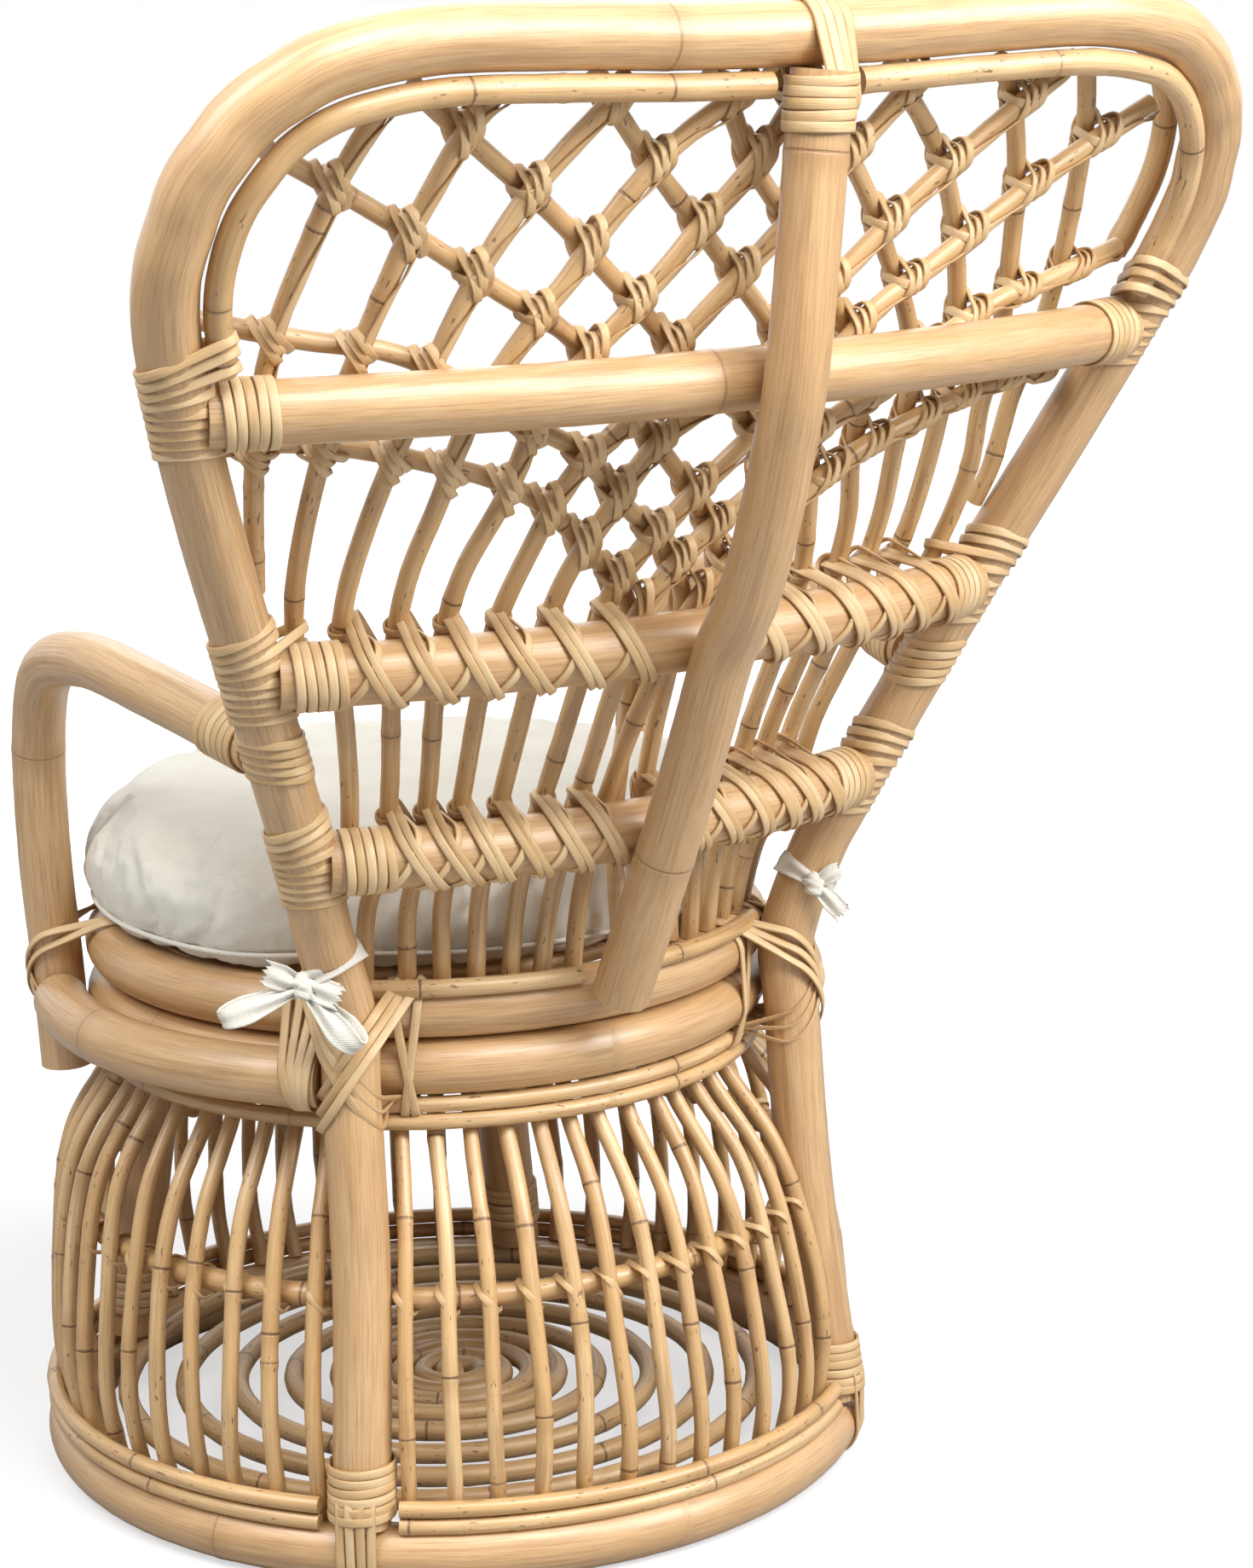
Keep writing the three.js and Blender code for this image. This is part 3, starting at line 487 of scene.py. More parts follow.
poleFinish = {"straw": linear(224, 190, 144), "honey": linear(206, 166, 117),
              "tan": linear(168, 125, 78), "joint": linear(138, 98, 60), "spacing": 0.46,
              "jointWidth": 0.0008, "rough": 0.38, "gloss": 0.75, "specks": 0.84, "ring": 0.5,
              "grain": 0.62, "variety": 0.12}
caneFinish = {"straw": linear(229, 197, 148), "honey": linear(208, 168, 114),
              "tan": linear(161, 116, 69), "joint": linear(104, 70, 42), "spacing": 0.17,
              "jointWidth": 0.0008, "rough": 0.38, "gloss": 0.6, "specks": 0.70, "ring": 0.85,
              "grain": 0.34, "variety": 0.3}
# The edge colour serves two uses: the strip's fibre grain, and a painted shade that darkens both
# long edges of each strip, where the gaps between turns lie in shadow.
stripFinish = {"pale": linear(230, 200, 154), "straw": linear(212, 176, 126),
               "edge": linear(154, 114, 72), "rough": 0.4}


def rattanMaterial(name, look):
    made, tree, shader = newMaterial(name)
    op, noise, ramp = partial(sums, tree), partial(noiseOf, tree), partial(ranged, tree)
    along, thickness, seed, tone = (attribute(tree, k) for k in ("along", "thick", "seed", "tone"))
    rim = apart(tree, attribute(tree, "aroundPole", "Vector"))
    spot = joined(tree, op("MULTIPLY_ADD", rim[0], thickness, seed),
                  op("MULTIPLY_ADD", rim[1], thickness, tone), along)
    fibres = noise(stretched(tree, spot, 1, 1, 0.03), 900, 4, 0.7)
    streaks = noise(stretched(tree, spot, 1, 1, 0.035), 190, 3, 0.65)
    clouds = noise(stretched(tree, spot, 1, 1, 0.5), 26, 3, 0.55)
    dots = noise(stretched(tree, spot, 1, 1, 0.28), 480, 1, 0.4)
    far, rare = noise(spot, 5.5, 2, 0.5), noise(spot, 40, 1, 0.5)
    off = jointDistance(tree, along, look["spacing"], seed)
    off = op("ABSOLUTE", op("ADD", off, op("MULTIPLY_ADD", streaks, 0.0016, -0.0008)))
    line = ramp(off, look["jointWidth"] * 0.4, look["jointWidth"] * 1.7, 1, 0, True)
    halo = ramp(off, 0.0, 0.02, 1, 0, True)
    specks = ramp(op("ADD", dots, op("MULTIPLY_ADD", rare, 0.22, -0.11)),
                  look["specks"], look["specks"] + 0.05, 0, 0.75, True)
    drift = op("MULTIPLY_ADD", tone, look["variety"], op("MULTIPLY_ADD", far, 0.7, -0.2))
    shade = op("ADD", op("MULTIPLY_ADD", clouds, 1.1, -0.35), drift)
    deep = ramp(op("MULTIPLY", streaks, op("ADD", clouds, 0.35)), 0.40, 0.62, 0, 0.55, True)
    colour = blended(tree, ramp(shade, 0.12, 0.95, smooth=True), look["honey"], look["straw"])
    for share, tint in ((deep, "tan"), (ramp(fibres, 0.45, 0.66, 0, look["grain"]), "tan"),
                        (op("MULTIPLY", halo, 0.3), "tan"), (specks, "joint"),
                        (op("MULTIPLY", line, look["ring"]), "joint")):
        colour = blended(tree, share, colour, look[tint])
    height = op("ADD", op("MULTIPLY", fibres, 0.35), op("MULTIPLY", streaks, 0.5))
    dressShader(tree, shader, op("SUBTRACT", height, op("MULTIPLY", line, 0.9)), 0.0005, {
        "Base Color": colour, "Coat Weight": look["gloss"], "Coat Roughness": 0.36,
        "Roughness": op("ADD", ramp(fibres, 0.2, 0.8, -0.07, 0.1),
                        op("MULTIPLY_ADD", clouds, 0.16, look["rough"] - 0.08))})
    return made


def stripMaterial(name, look):
    made, tree, shader = newMaterial(name)
    op, noise, ramp = partial(sums, tree), partial(noiseOf, tree), partial(ranged, tree)
    along, tone, seed = (attribute(tree, k) for k in ("along", "tone", "seed"))
    across = apart(tree, attribute(tree, "acrossStrip", "Vector"))[1]
    spot = joined(tree, op("MULTIPLY_ADD", across, 0.003, seed), along, tone)
    fibres = noise(stretched(tree, spot, 1, 0.03, 1), 1500, 3, 0.6)
    clouds = noise(stretched(tree, spot, 1, 0.4, 1), 60, 3, 0.6)
    shade = op("ADD", op("MULTIPLY_ADD", tone, 0.3, 0.0), clouds)
    colour = blended(tree, ramp(shade, 0.2, 0.8, smooth=True), look["straw"], look["pale"])
    # First the fibre grain, then a painted shade that darkens both edges of the strip toward the
    # edge colour.
    for share in (ramp(fibres, 0.42, 0.8, 0, 0.3),
                  ramp(op("ABSOLUTE", across), 0.84, 1.0, 0, 0.6, True)):
        colour = blended(tree, share, colour, look["edge"])
    dressShader(tree, shader, op("ADD", fibres, op("MULTIPLY", clouds, 0.6)), 0.0004, {
        "Base Color": colour, "Coat Weight": 0.12, "Coat Roughness": 0.4,
        "Roughness": ramp(fibres, 0.2, 0.8, look["rough"] - 0.08, look["rough"] + 0.12)})
    return made


clothFinish = {"white": linear(230, 226, 215), "shade": linear(212, 206, 193), "thread": 0.0009,
               "rough": 0.9}


def clothMaterial(name, look):
    made, tree, shader = newMaterial(name)
    op, noise, ramp = partial(sums, tree), partial(noiseOf, tree), partial(ranged, tree)
    spot = attribute(tree, "weave", "Vector")
    threads = apart(tree, addNode(tree, "ShaderNodeVectorMath", {
        0: spot, "Scale": math.pi / look["thread"]}, operation="SCALE").outputs[0])
    over = op("SINE", op("ADD", threads[0], threads[1]))
    knit = op("MULTIPLY_ADD", op("MULTIPLY", op("SINE", threads[0]), op("SINE", threads[1])), 0.25,
              op("MULTIPLY", over, 0.6))
    slub = noise(stretched(tree, spot, 1, 0.05, 1), 420, 2, 0.6)
    slubs = op("ADD", slub, noise(stretched(tree, spot, 0.05, 1, 1), 420, 2, 0.6))
    lightness = op("ADD", op("MULTIPLY", slubs, 0.14),
                   op("MULTIPLY_ADD", noise(spot, 18, 4, 0.55), 0.5, 0.2))
    lightness = op("MULTIPLY_ADD", knit, 0.08, lightness)
    dressShader(tree, shader, op("MULTIPLY_ADD", knit, 0.3, op("MULTIPLY", slubs, 0.6)), 0.00045, {
        "Base Color": blended(tree, ramp(lightness, 0.3, 0.78, smooth=True), look["shade"],
                              look["white"]),
        "Roughness": ramp(slub, 0.2, 0.8, look["rough"] - 0.06, look["rough"] + 0.06),
        "Sheen Weight": 0.25, "Sheen Roughness": 0.5, "Specular IOR Level": 0.25})
    return made


rattan = {"pole": rattanMaterial("peeledPole", poleFinish),
          "cane": rattanMaterial("peeledCane", caneFinish)}
wrapMaterial = stripMaterial("splitStrip", stripFinish)
canvasMaterial = clothMaterial("cottonCanvas", clothFinish)
print("finishes made")

# Thick poles: rings, hoop, rails, spine, arms and braces.

poleSweep = {"step": 0.006, "sides": 28, "spacing": poleFinish["spacing"], "rise": 0.022}


def closedRing(radius, z, centreY, count=160):
    turn = np.linspace(0, 2 * math.pi, count, endpoint=False)
    return np.array([around(radius, a, z, centreY) for a in turn])


def pole(name, path, node, radius=poleRadius, closed=False):
    line = {"path": path, "thick": radius / 1000, "closed": closed}
    return canes(name, [line], [node], "pole", **poleSweep)


for name, radius, z, centreY, node in (
        ("basePoleRing", rings["base"], rings["baseZ"], 0, "base_ring"),
        ("upperSeatPole", rings["seat"], rings["upperZ"], seatY, "seat_ring_upper"),
        ("lowerSeatPole", rings["seat"], rings["lowerZ"], seatY, "seat_ring_lower")):
    pole(name, closedRing(radius, z, centreY), node, closed=True)
pole("hoopPole", hoop, "back_hoop")

rail = {"inset": 12, "points": 41}


def railPath(z):
    post = postAt(z)
    slope = (shellDepth(post[0] - poleRadius, z) - shellDepth(post[0], z)) / poleRadius
    end = post[0] - rail["inset"] / math.hypot(1, slope)
    xs = np.linspace(end, -end, rail["points"])
    return smoothThrough([(x, shellDepth(x, z), z) for x in xs], 4)


railPaths = [railPath(z) for z in railZ]
for label, path in zip(("low", "middle", "top"), railPaths):
    pole(label + "RailPole", path, "rail_" + label)

spine = {"foot": (8, 236, 371), "behind": 38.7, "head": (-17, 16, -20.05),
         "shares": [0.42, 0.455, 0.49, 0.535, 0.58, 0.623, 0.66, 0.715, 0.755, 0.796],
         "slackZ": [383, 612, 649, 703, 765, 990], "slack": [0, 0, 9, 9, 2, 0]}
spinePoints = [spine["foot"]]
for share in spine["shares"]:
    z = backZ(share)
    depth = shellDepth(0, z) + spine["behind"] / shellNormal(0, z)[1]
    depth += np.interp(z, spine["slackZ"], spine["slack"])
    spinePoints.append((np.interp(z, [rings["upperZ"], 500], [8, 0]), depth, z))
spinePoints.append(np.array([0, *hoopTop[1:]]) + spine["head"])
spinePath = smoothThrough(spinePoints, 16)
pole("spinePole", spinePath, "centre_spine")

arm = {"points": [(262, 100, 580), (264, 0, 585), (258, -70, 566), (248, -112, 515),
                  (243, -124, 430), (236, -128, 350), (232, -128, 276)], "setIn": 14}
brace = {"rearGap": 20, "frontGap": 19}
armStart = postAt(armZ)
armStart = armStart + unit(np.array(arm["points"][0]) - armStart) * arm["setIn"]
armPath = smoothThrough([armStart] + arm["points"], 16)
armFoot = arm["points"][-2]
start = postAngle(rings["braceZ"]) + brace["rearGap"] / rings["brace"]
end = math.atan2(armFoot[0], armFoot[1] - seatY) - brace["frontGap"] / rings["brace"]
bracePath = arcPath(rings["brace"], start, end, rings["braceZ"])
for side, mirror in (("left", 1), ("right", flip)):
    pole(side + "ArmPole", armPath * mirror, "arm_" + side, poles["arm"])
    pole(side + "BracePole", bracePath * mirror, "side_brace_" + side)
print("poles made")

# The lattice of the back: each cane as a row of places across and up the back.

caneTable = [
    [(19, 383), (9, 488), (0, 564), (-20, 632), (-42, 654), (-70, 682), (-97, 705), (-130, 723),
     (-169, 736), (-206, 746), (-248, 755), (-286, 755), (-320, 755)],
    [(41, 383), (30, 490), (20, 632), (0, 661), (-19, 684), (-55, 711), (-85, 740), (-124, 759),
     (-162, 782), (-193, 803), (-238, 812), (-288, 823), (-330, 834)],
    [(62, 383), (56, 493), (48, 628), (42, 654), (19, 684), (0, 712), (-37, 744), (-60, 762),
     (-95, 803), (-131, 826), (-175, 853), (-220, 881), (-270, 908), (-308, 928)],
    [(83, 383), (85, 497), (84, 632), (70, 682), (55, 711), (37, 744), (0, 765), (-38, 803),
     (-69, 831), (-106, 866), (-149, 901), (-197, 935), (-229, 960)],
    [(103, 383), (111, 502), (118, 636), (97, 705), (85, 740), (60, 762), (38, 803), (0, 843),
     (-32, 875), (-70, 913), (-104, 950), (-115, 960)],
    [(122, 383), (133, 505), (151, 640), (130, 723), (124, 759), (95, 803), (69, 831), (32, 875),
     (0, 911), (-22, 947), (-35, 960)],
    [(144, 383), (157, 509), (181, 642), (169, 736), (162, 782), (131, 826), (106, 866), (70, 913),
     (22, 947), (8, 960)],
    [(165, 383), (181, 512), (214, 644), (206, 746), (193, 803), (175, 853), (149, 901), (104, 950),
     (95, 960)],
    [(196, 512), (200, 530), (242, 646), (248, 755), (238, 812), (220, 881), (197, 935),
     (178, 960)],
    [(262, 645), (265, 655), (286, 755), (288, 823), (270, 908), (250, 955)],
]
windingZ = railZ + [armZ]
lattice = {"foot": 382.46, "behind": 24.75, "layer": 13.091, "clear": 6.35, "onRing": 221,
           "flare": 0.389, "free": 0.48, "wound": 26.6, "windingReach": 43, "knotsFrom": 600,
           "standsBelow": 393, "out": ([.389, .48, .81, .983, 1.05], [0, 1, 1, .28, .28]),
           "standing": ([.389, .53, 1.05], [0, 1, 1]),
           "springing": ([.7, .755, 1.05], [0, .98, .98])}


def clearOfHoop(place):
    wound = any(abs(z - place[2]) < lattice["windingReach"] for z in windingZ)
    return np.linalg.norm(hoop - place, axis=1).min() - (lattice["wound"] if wound else poleRadius)


def backCane(table, front):
    stands = table[0][1] < lattice["standsBelow"]        # on the seat ring
    line = []
    for x, z in evenly(plainThrough(table, 40), 81):
        share = backShare(z)
        cosine = shellNormal(x, z)[1]
        depth = shellDepth(x, z) - lattice["behind"] * np.interp(share, *lattice["out"]) / cosine
        layer = np.interp(share, *lattice["standing" if stands else "springing"])
        if front:
            depth -= lattice["layer"] * layer / cosine
        if stands and share < lattice["free"]:
            onRing = seatY + math.sqrt(lattice["onRing"] ** 2 - x ** 2)
            rising = max(0.0, (share - lattice["flare"]) / (lattice["free"] - lattice["flare"]))
            depth = onRing + (depth - onRing) * min(1, rising ** 1.5)
        line.append((x, depth, max(z, lattice["foot"])))
    line = np.array(line)
    if stands:
        line[0][2] = lattice["foot"]
    while clearOfHoop(line[-1]) < lattice["clear"]:
        line = line[:-1]
    while clearOfHoop(line[0]) < lattice["clear"]:
        line = line[1:]
    return smoothThrough([p for i, p in enumerate(line) if i % 6 == 0 or i == len(line) - 1], 10)


rearCanes = [backCane(t, False) for t in caneTable]
frontCanes = [backCane(t, True) * flip for t in caneTable]
caneSweep = {"step": 0.005, "sides": 14, "spacing": caneFinish["spacing"], "rise": 0.07,
             "unevenness": 0.05}
for label, family in (("rear", rearCanes), ("front", frontCanes)):
    for i, path in enumerate(family):
        cane("%sLatticeCane%02d" % (label, i + 1), path, poles["cane"],
             "%s_cane_%02d" % (label, i + 1), caneSweep)


def crooked(path, amount, wave=70.0):
    at = lengths(path)
    bend = [dice.uniform(0, 6.3) for _ in range(4)]
    fade = np.clip(np.minimum(at, at[-1] - at) / 25, 0, 1)
    along = tangents(path)
    side = unitRows(np.cross(along, [0.31, 0.2, 0.93]) + 1e-6)
    other = np.cross(along, side)
    one = np.sin(at / wave * 2.1 + bend[0]) + 0.7 * np.sin(at / wave * 5.2 + bend[1])
    two = np.sin(at / wave * 2.6 + bend[2]) + 0.6 * np.sin(at / wave * 4.4 + bend[3])
    return path + (side * (one * fade * amount)[:, None]
                   + other * (two * fade * amount * 0.5)[:, None])


def longer(path, atStart, atEnd):
    first, last = unit(path[0] - path[1]), unit(path[-1] - path[-2])
    return np.vstack([path[0] + first * atStart, path, path[-1] + last * atEnd])


frameCanes = {"low": 806, "middleZ": 781, "rear": (26.83, 9.3), "front": (11.6, -29.7)}


def frameCanePath(offset, keep):
    middle = np.array([0, shellDepth(0, frameCanes["middleZ"]), frameCanes["middleZ"] * 1.02])
    inset, rear = offset
    points = []
    for i in range(0, 801, 10):
        place = hoop[i]
        if place[2] < frameCanes["low"] or not keep(place):
            continue
        along = unit(hoop[min(i + 1, 800)] - hoop[i - 1])
        inward = middle - place
        inward = unit(inward - along * inward.dot(along))
        back = unit(np.cross(inward, along))
        back = back if back[1] > 0 else -back
        points.append(place + inward * inset + back * rear)
    return smoothThrough(points, 5)


framePaths = {
    "rearLeft": longer(frameCanePath(frameCanes["rear"], lambda p: p[0] > 5), 10, 22),
    "rearRight": longer(frameCanePath(frameCanes["rear"], lambda p: p[0] < -40), 18, 10),
    "front": frameCanePath(frameCanes["front"], lambda p: True)}
frameNodes = {"rearLeft": "rear_left", "rearRight": "rear_right", "front": "front"}
for label, path in framePaths.items():
    cane(label + "FrameCane", path, poles["frame"], "frame_cane_" + frameNodes[label],
         {**caneSweep, "sides": 18, "spacing": 0.21})
print("lattice made")

# The drum: spindles, mid ring, trims, floor spiral and seat deck.

spindles = {"rows": [(268, 37.8), (276.5, 85), (272.5, 150), (254, 228), (216, 285), (210, 303)],
            "rear": 7, "front": 43, "legs": (15, 28), "sunk": 1.2}
outRing = np.interp(rings["midZ"], [150, 228], [272.5, 254])
midRing = outRing - poles["spindle"] - poles["midRing"] + spindles["sunk"]


def spindlePath(share, front):
    return smoothThrough([around(radius, drumAngle(share, z, front), z)
                          for radius, z in spindles["rows"]], 8)


def cageLines(shares, front):
    first, last = (drumAngle(shares[i], rings["midZ"], front) for i in (0, -1))
    reach = poles["spindle"] / midRing
    ring = {"path": arcPath(midRing, first - reach, last + reach, rings["midZ"]),
            "thick": poles["midRing"] / 1000, "tone": -0.9}
    return [ring] + [{"path": crooked(spindlePath(s, front), 1.3, 150),
                      "thick": poles["spindle"] / 1000 * dice.uniform(0.94, 1.04)} for s in shares]


rearShares = [i / spindles["rear"] for i in range(1 - spindles["rear"], spindles["rear"])]
frontShares = [i / spindles["front"] for i in range(1, spindles["front"])
               if i not in spindles["legs"]]
spindleSweep = {"step": 0.006, "sides": 12, "spacing": caneFinish["spacing"], "rise": 0.09,
                "unevenness": 0.07}
canes("rearSpindles", cageLines(rearShares, False), ["spindles_rear"], **spindleSweep)
canes("frontSpindles", cageLines(frontShares, True), ["spindles_front"], **spindleSweep)

# The two front legs stand inside the drum, each in a spindle's place.
leg = {"ends": ((251.4, 44.5), (200.2, 302)), "points": 60}
legShare = spindles["legs"][0] / spindles["front"]
legFoot, legHead = (around(r, drumAngle(legShare, z, True), z) for r, z in leg["ends"])
legPath = np.linspace(legFoot, legHead, leg["points"])
for side, mirror in (("left", 1), ("right", flip)):
    pole(side + "FrontLeg", legPath * mirror, "front_leg_" + side)

trim = {"foot": 282, "footZ": 40.2, "footRise": 11.35, "footGrow": 0.35, "postGap": 26.5,
        "backTrim": 236, "backZ": 381, "spineGap": 21, "hoopGap": 13, "lower": (227, 289.1)}
trimSweep = {"step": 0.006, "sides": 12, "spacing": caneFinish["spacing"], "rise": 0.06,
             "unevenness": 0.05}
for i, label in enumerate(("lower", "upper")):
    z = trim["footZ"] + i * trim["footRise"]
    post, gap = postAngle(z), trim["postGap"] / trim["foot"]
    for part, start, end in (("Rear", gap - post, post - gap),
                             ("Front", post + gap, 2 * math.pi - post - gap)):
        path = arcPath(trim["foot"] + i * trim["footGrow"], start, end, z)
        cane(label + part + "FootTrim", path, poles["trim"],
             "foot_trim_%s_%s" % (part.lower(), label), trimSweep)
for label, radius, z in (("upper", rings["trim"], rings["trimZ"]), ("lower", *trim["lower"])):
    cane(label + "SeatTrim", closedRing(radius, z, seatY), poles["trim"], "seat_trim_" + label,
         trimSweep, closed=True)
start = trim["spineGap"] / trim["backTrim"]
end = postAngle(trim["backZ"]) - trim["hoopGap"] / trim["backTrim"]
backTrim = arcPath(trim["backTrim"], start, end, trim["backZ"])
for side, mirror in (("left", 1), ("right", flip)):
    cane(side + "BackTrim", backTrim * mirror, poles["backTrim"], "back_trim_" + side, trimSweep)


def spiralPath(radiusAt, turns, centreY, z):
    t = np.linspace(0, 1, int(turns * 60))
    radius, angle = radiusAt(t), t * turns * 2 * math.pi
    return np.stack([np.sin(angle) * radius, centreY + np.cos(angle) * radius,
                     np.full_like(t, z)], axis=1)


spirals = {"turns": 8.7, "radii": [5, 20, 35, 54, 75, 104, 143, 182, 218, 253], "floorZ": 33.9,
           "deckTurns": 5.5, "deckZ": 375.8, "deckFrom": 12, "deckGrow": 185}
floorTurns = [*range(9), spirals["turns"]]
floorPath = spiralPath(lambda t: np.interp(t * spirals["turns"], floorTurns, spirals["radii"]),
                       spirals["turns"], 0, spirals["floorZ"])
cane("floorSpiralCane", floorPath, poles["floor"], "floor_spiral",
     {"step": 0.007, "sides": 12, "spacing": 0.3, "rise": 0.05}, tone=0.3)
deckPath = spiralPath(lambda t: spirals["deckFrom"] + spirals["deckGrow"] * t,
                      spirals["deckTurns"], seatY, spirals["deckZ"])
cane("seatDeckCane", deckPath, poles["deck"], "seat_deck",
     {"step": 0.008, "sides": 10, "spacing": 0.3, "rise": 0.05})
print("drum made")


# Lashings of split strip. Each belt is the tight loop of a strip round the round pieces that it
# holds, in a plane given by the two directions across and normal.

lashing = {"width": 0.0061, "thickness": 0.0019, "pitch": 6.0, "lift": 1.05, "corners": 120}
wrapSweep = {"width": lashing["width"], "thickness": lashing["thickness"], "step": 0.0028}


def belt(centre, across, normal, members, aside=0.0, lift=lashing["lift"], step=2.5, **extra):
    centre, normal = np.asarray(centre, float), unit(normal)
    across = np.asarray(across, float)
    across = unit(across - normal * across.dot(normal))
    side = np.cross(across, normal)
    turn = np.linspace(0, 2 * math.pi, lashing["corners"], endpoint=False)
    dx, dy = np.cos(turn), np.sin(turn)
    best, px, py = np.full(len(turn), -1e9), np.zeros(len(turn)), np.zeros(len(turn))
    for point, direction, radius in members:        # each cut by the plane is an ellipse
        o, d = np.asarray(point) - centre, unit(direction)
        lean = d.dot(side)
        if abs(lean) < 0.3:
            lean = math.copysign(0.3, lean)
        go = (aside - o.dot(side)) / lean
        u = o.dot(across) + go * d.dot(across)
        v = o.dot(normal) + go * d.dot(normal)
        wide = radius * math.hypot(d.dot(across), lean) / abs(lean)
        size = np.sqrt((wide * dx) ** 2 + (radius * dy) ** 2)
        reach = u * dx + v * dy + size
        more = reach > best
        px[more], py[more] = (u + wide ** 2 * dx / size)[more], (v + radius ** 2 * dy / size)[more]
        best[more] = reach[more]
    px, py = px + dx * lift, py + dy * lift
    path = centre + np.outer(px, across) + np.outer(py, normal) + side * aside
    rows = np.hstack([path, np.outer(dx, across) + np.outer(dy, normal)])
    rows = np.vstack([rows, rows[:1]])
    at = lengths(rows[:, :3])
    goal = np.linspace(0, at[-1], max(12, int(at[-1] / step)), endpoint=False)
    rows = rowsAt(rows, at, goal)
    return {"path": rows[:, :3], "outward": unitRows(rows[:, 3:]), "closed": True, **extra}


def belts(centre, across, normal, members, count, pitch=lashing["pitch"], **extra):
    return [belt(centre, across, normal, members,
                 aside=(k - (count - 1) / 2) * pitch + dice.uniform(-0.3, 0.3), **extra)
            for k in range(count)]


def crossAt(path, z):
    for i in range(len(path) - 1):
        if (path[i][2] - z) * (path[i + 1][2] - z) <= 0 and path[i][2] != path[i + 1][2]:
            part = (z - path[i][2]) / (path[i + 1][2] - path[i][2])
            return path[i] + (path[i + 1] - path[i]) * part, unit(path[i + 1] - path[i])
    return None


def mirrored(lines):
    return [{**line, "path": line["path"] * flip, "outward": line["outward"] * flip}
            for line in lines]


def bothSides(lines):
    return lines + mirrored(lines)


thinPoles = [(path, poles["cane"]) for path in rearCanes + frontCanes]
thinPoles += [(path, poles["frame"]) for path in framePaths.values()]


def nearCanes(post, tangent, height, reach=37):
    found = []
    for path, radius in thinPoles:
        hit = crossAt(path, height)
        if hit is None:
            continue
        off = hit[0] - post
        off = off - tangent * off.dot(tangent)
        if np.linalg.norm(off) < reach:
            found.append((*hit, radius))
    return found


# The last turns of a rail's winding rise over the canes beside the post.
winding = {"turns": 9, "rising": 4, "tilts": (8, 14, 17.5, 19), "over": 14, "overLift": 0.5,
           "armTurns": 5}


def jointWinding(z, turns, rising, inner):
    lines = []
    level = unit([inner[0], inner[1], 0])
    normal = unit(np.cross([0, 0, 1], level))
    for k in range(turns):
        height = z + (k - (turns - 1) / 2) * lashing["pitch"]
        post, tangent = postAt(height), postTangent(height)
        square = unit(level - tangent * level.dot(tangent))
        base = unit(level * 0.7 + square * 0.3)
        order = k - (turns - rising)
        over = order >= 0
        tilt = math.radians(winding["tilts"][order] if over else dice.uniform(-1, 1))
        across = turnedFrom(base, risingFrom(base, normal), tilt)
        middle = post + tangent * (poleRadius * math.tan(tilt) if over else 0)
        members = [(post, tangent, poleRadius)]
        if over:
            members += nearCanes(post, tangent, height + winding["over"])
        lines.append(belt(middle, across, normal, members,
                          lift=lashing["lift"] + (winding["overLift"] if over else 0)))
    return lines


def endWraps(path, start, turns, radius, pitch=6.3):
    lines = []
    for k in range(turns):
        s = start + k * pitch
        centre = pointAt(path, s)
        tangent = unit(pointAt(path, s + 4) - centre)
        normal = unit(np.cross(tangent, [0, 0, 1]))
        across = np.cross(tangent, normal) + tangent * dice.uniform(0.02, 0.1)
        lines.append(belt(centre, across, normal, [(centre, tangent, radius)], lift=1.2))
    return lines


def sideStrips(label, lines, node):
    for side, part in (("left", lines), ("right", mirrored(lines))):
        strips(side + label + "JointWinding", part, [node + "_" + side], **wrapSweep)


for label, z, path in zip(("low", "middle", "top"), (railZ[0], railZ[1], railZ[2] + 3), railPaths):
    lines = jointWinding(z, winding["turns"], winding["rising"], unit(path[40] - path[0]))
    sideStrips(label.capitalize(), lines, "winding_rail_" + label)
    strips(label + "RailEndWraps", bothSides(endWraps(path, 11, 5, poleRadius)), **wrapSweep)
lines = jointWinding(armZ, winding["armTurns"], 0, unit(postAt(armZ) - armPath[30]))
sideStrips("Arm", lines, "winding_arm")
strips("armEndWraps", bothSides(endWraps(armPath, 10, 6, poles["arm"])), **wrapSweep)
strips("legFootWraps", bothSides(endWraps(legPath, 20, 5, poleRadius)), **wrapSweep)
print("windings made")

# Crossed lashings of the canes on the middle and low rails.

crossTie = {"slant": 33, "over": -9, "under": 7, "skip": (22, 34), "strand": 5.0, "fromPost": 52,
            "heldAt": 20, "heldRadius": 6.5, "topAt": 24, "leastRise": 0.5}


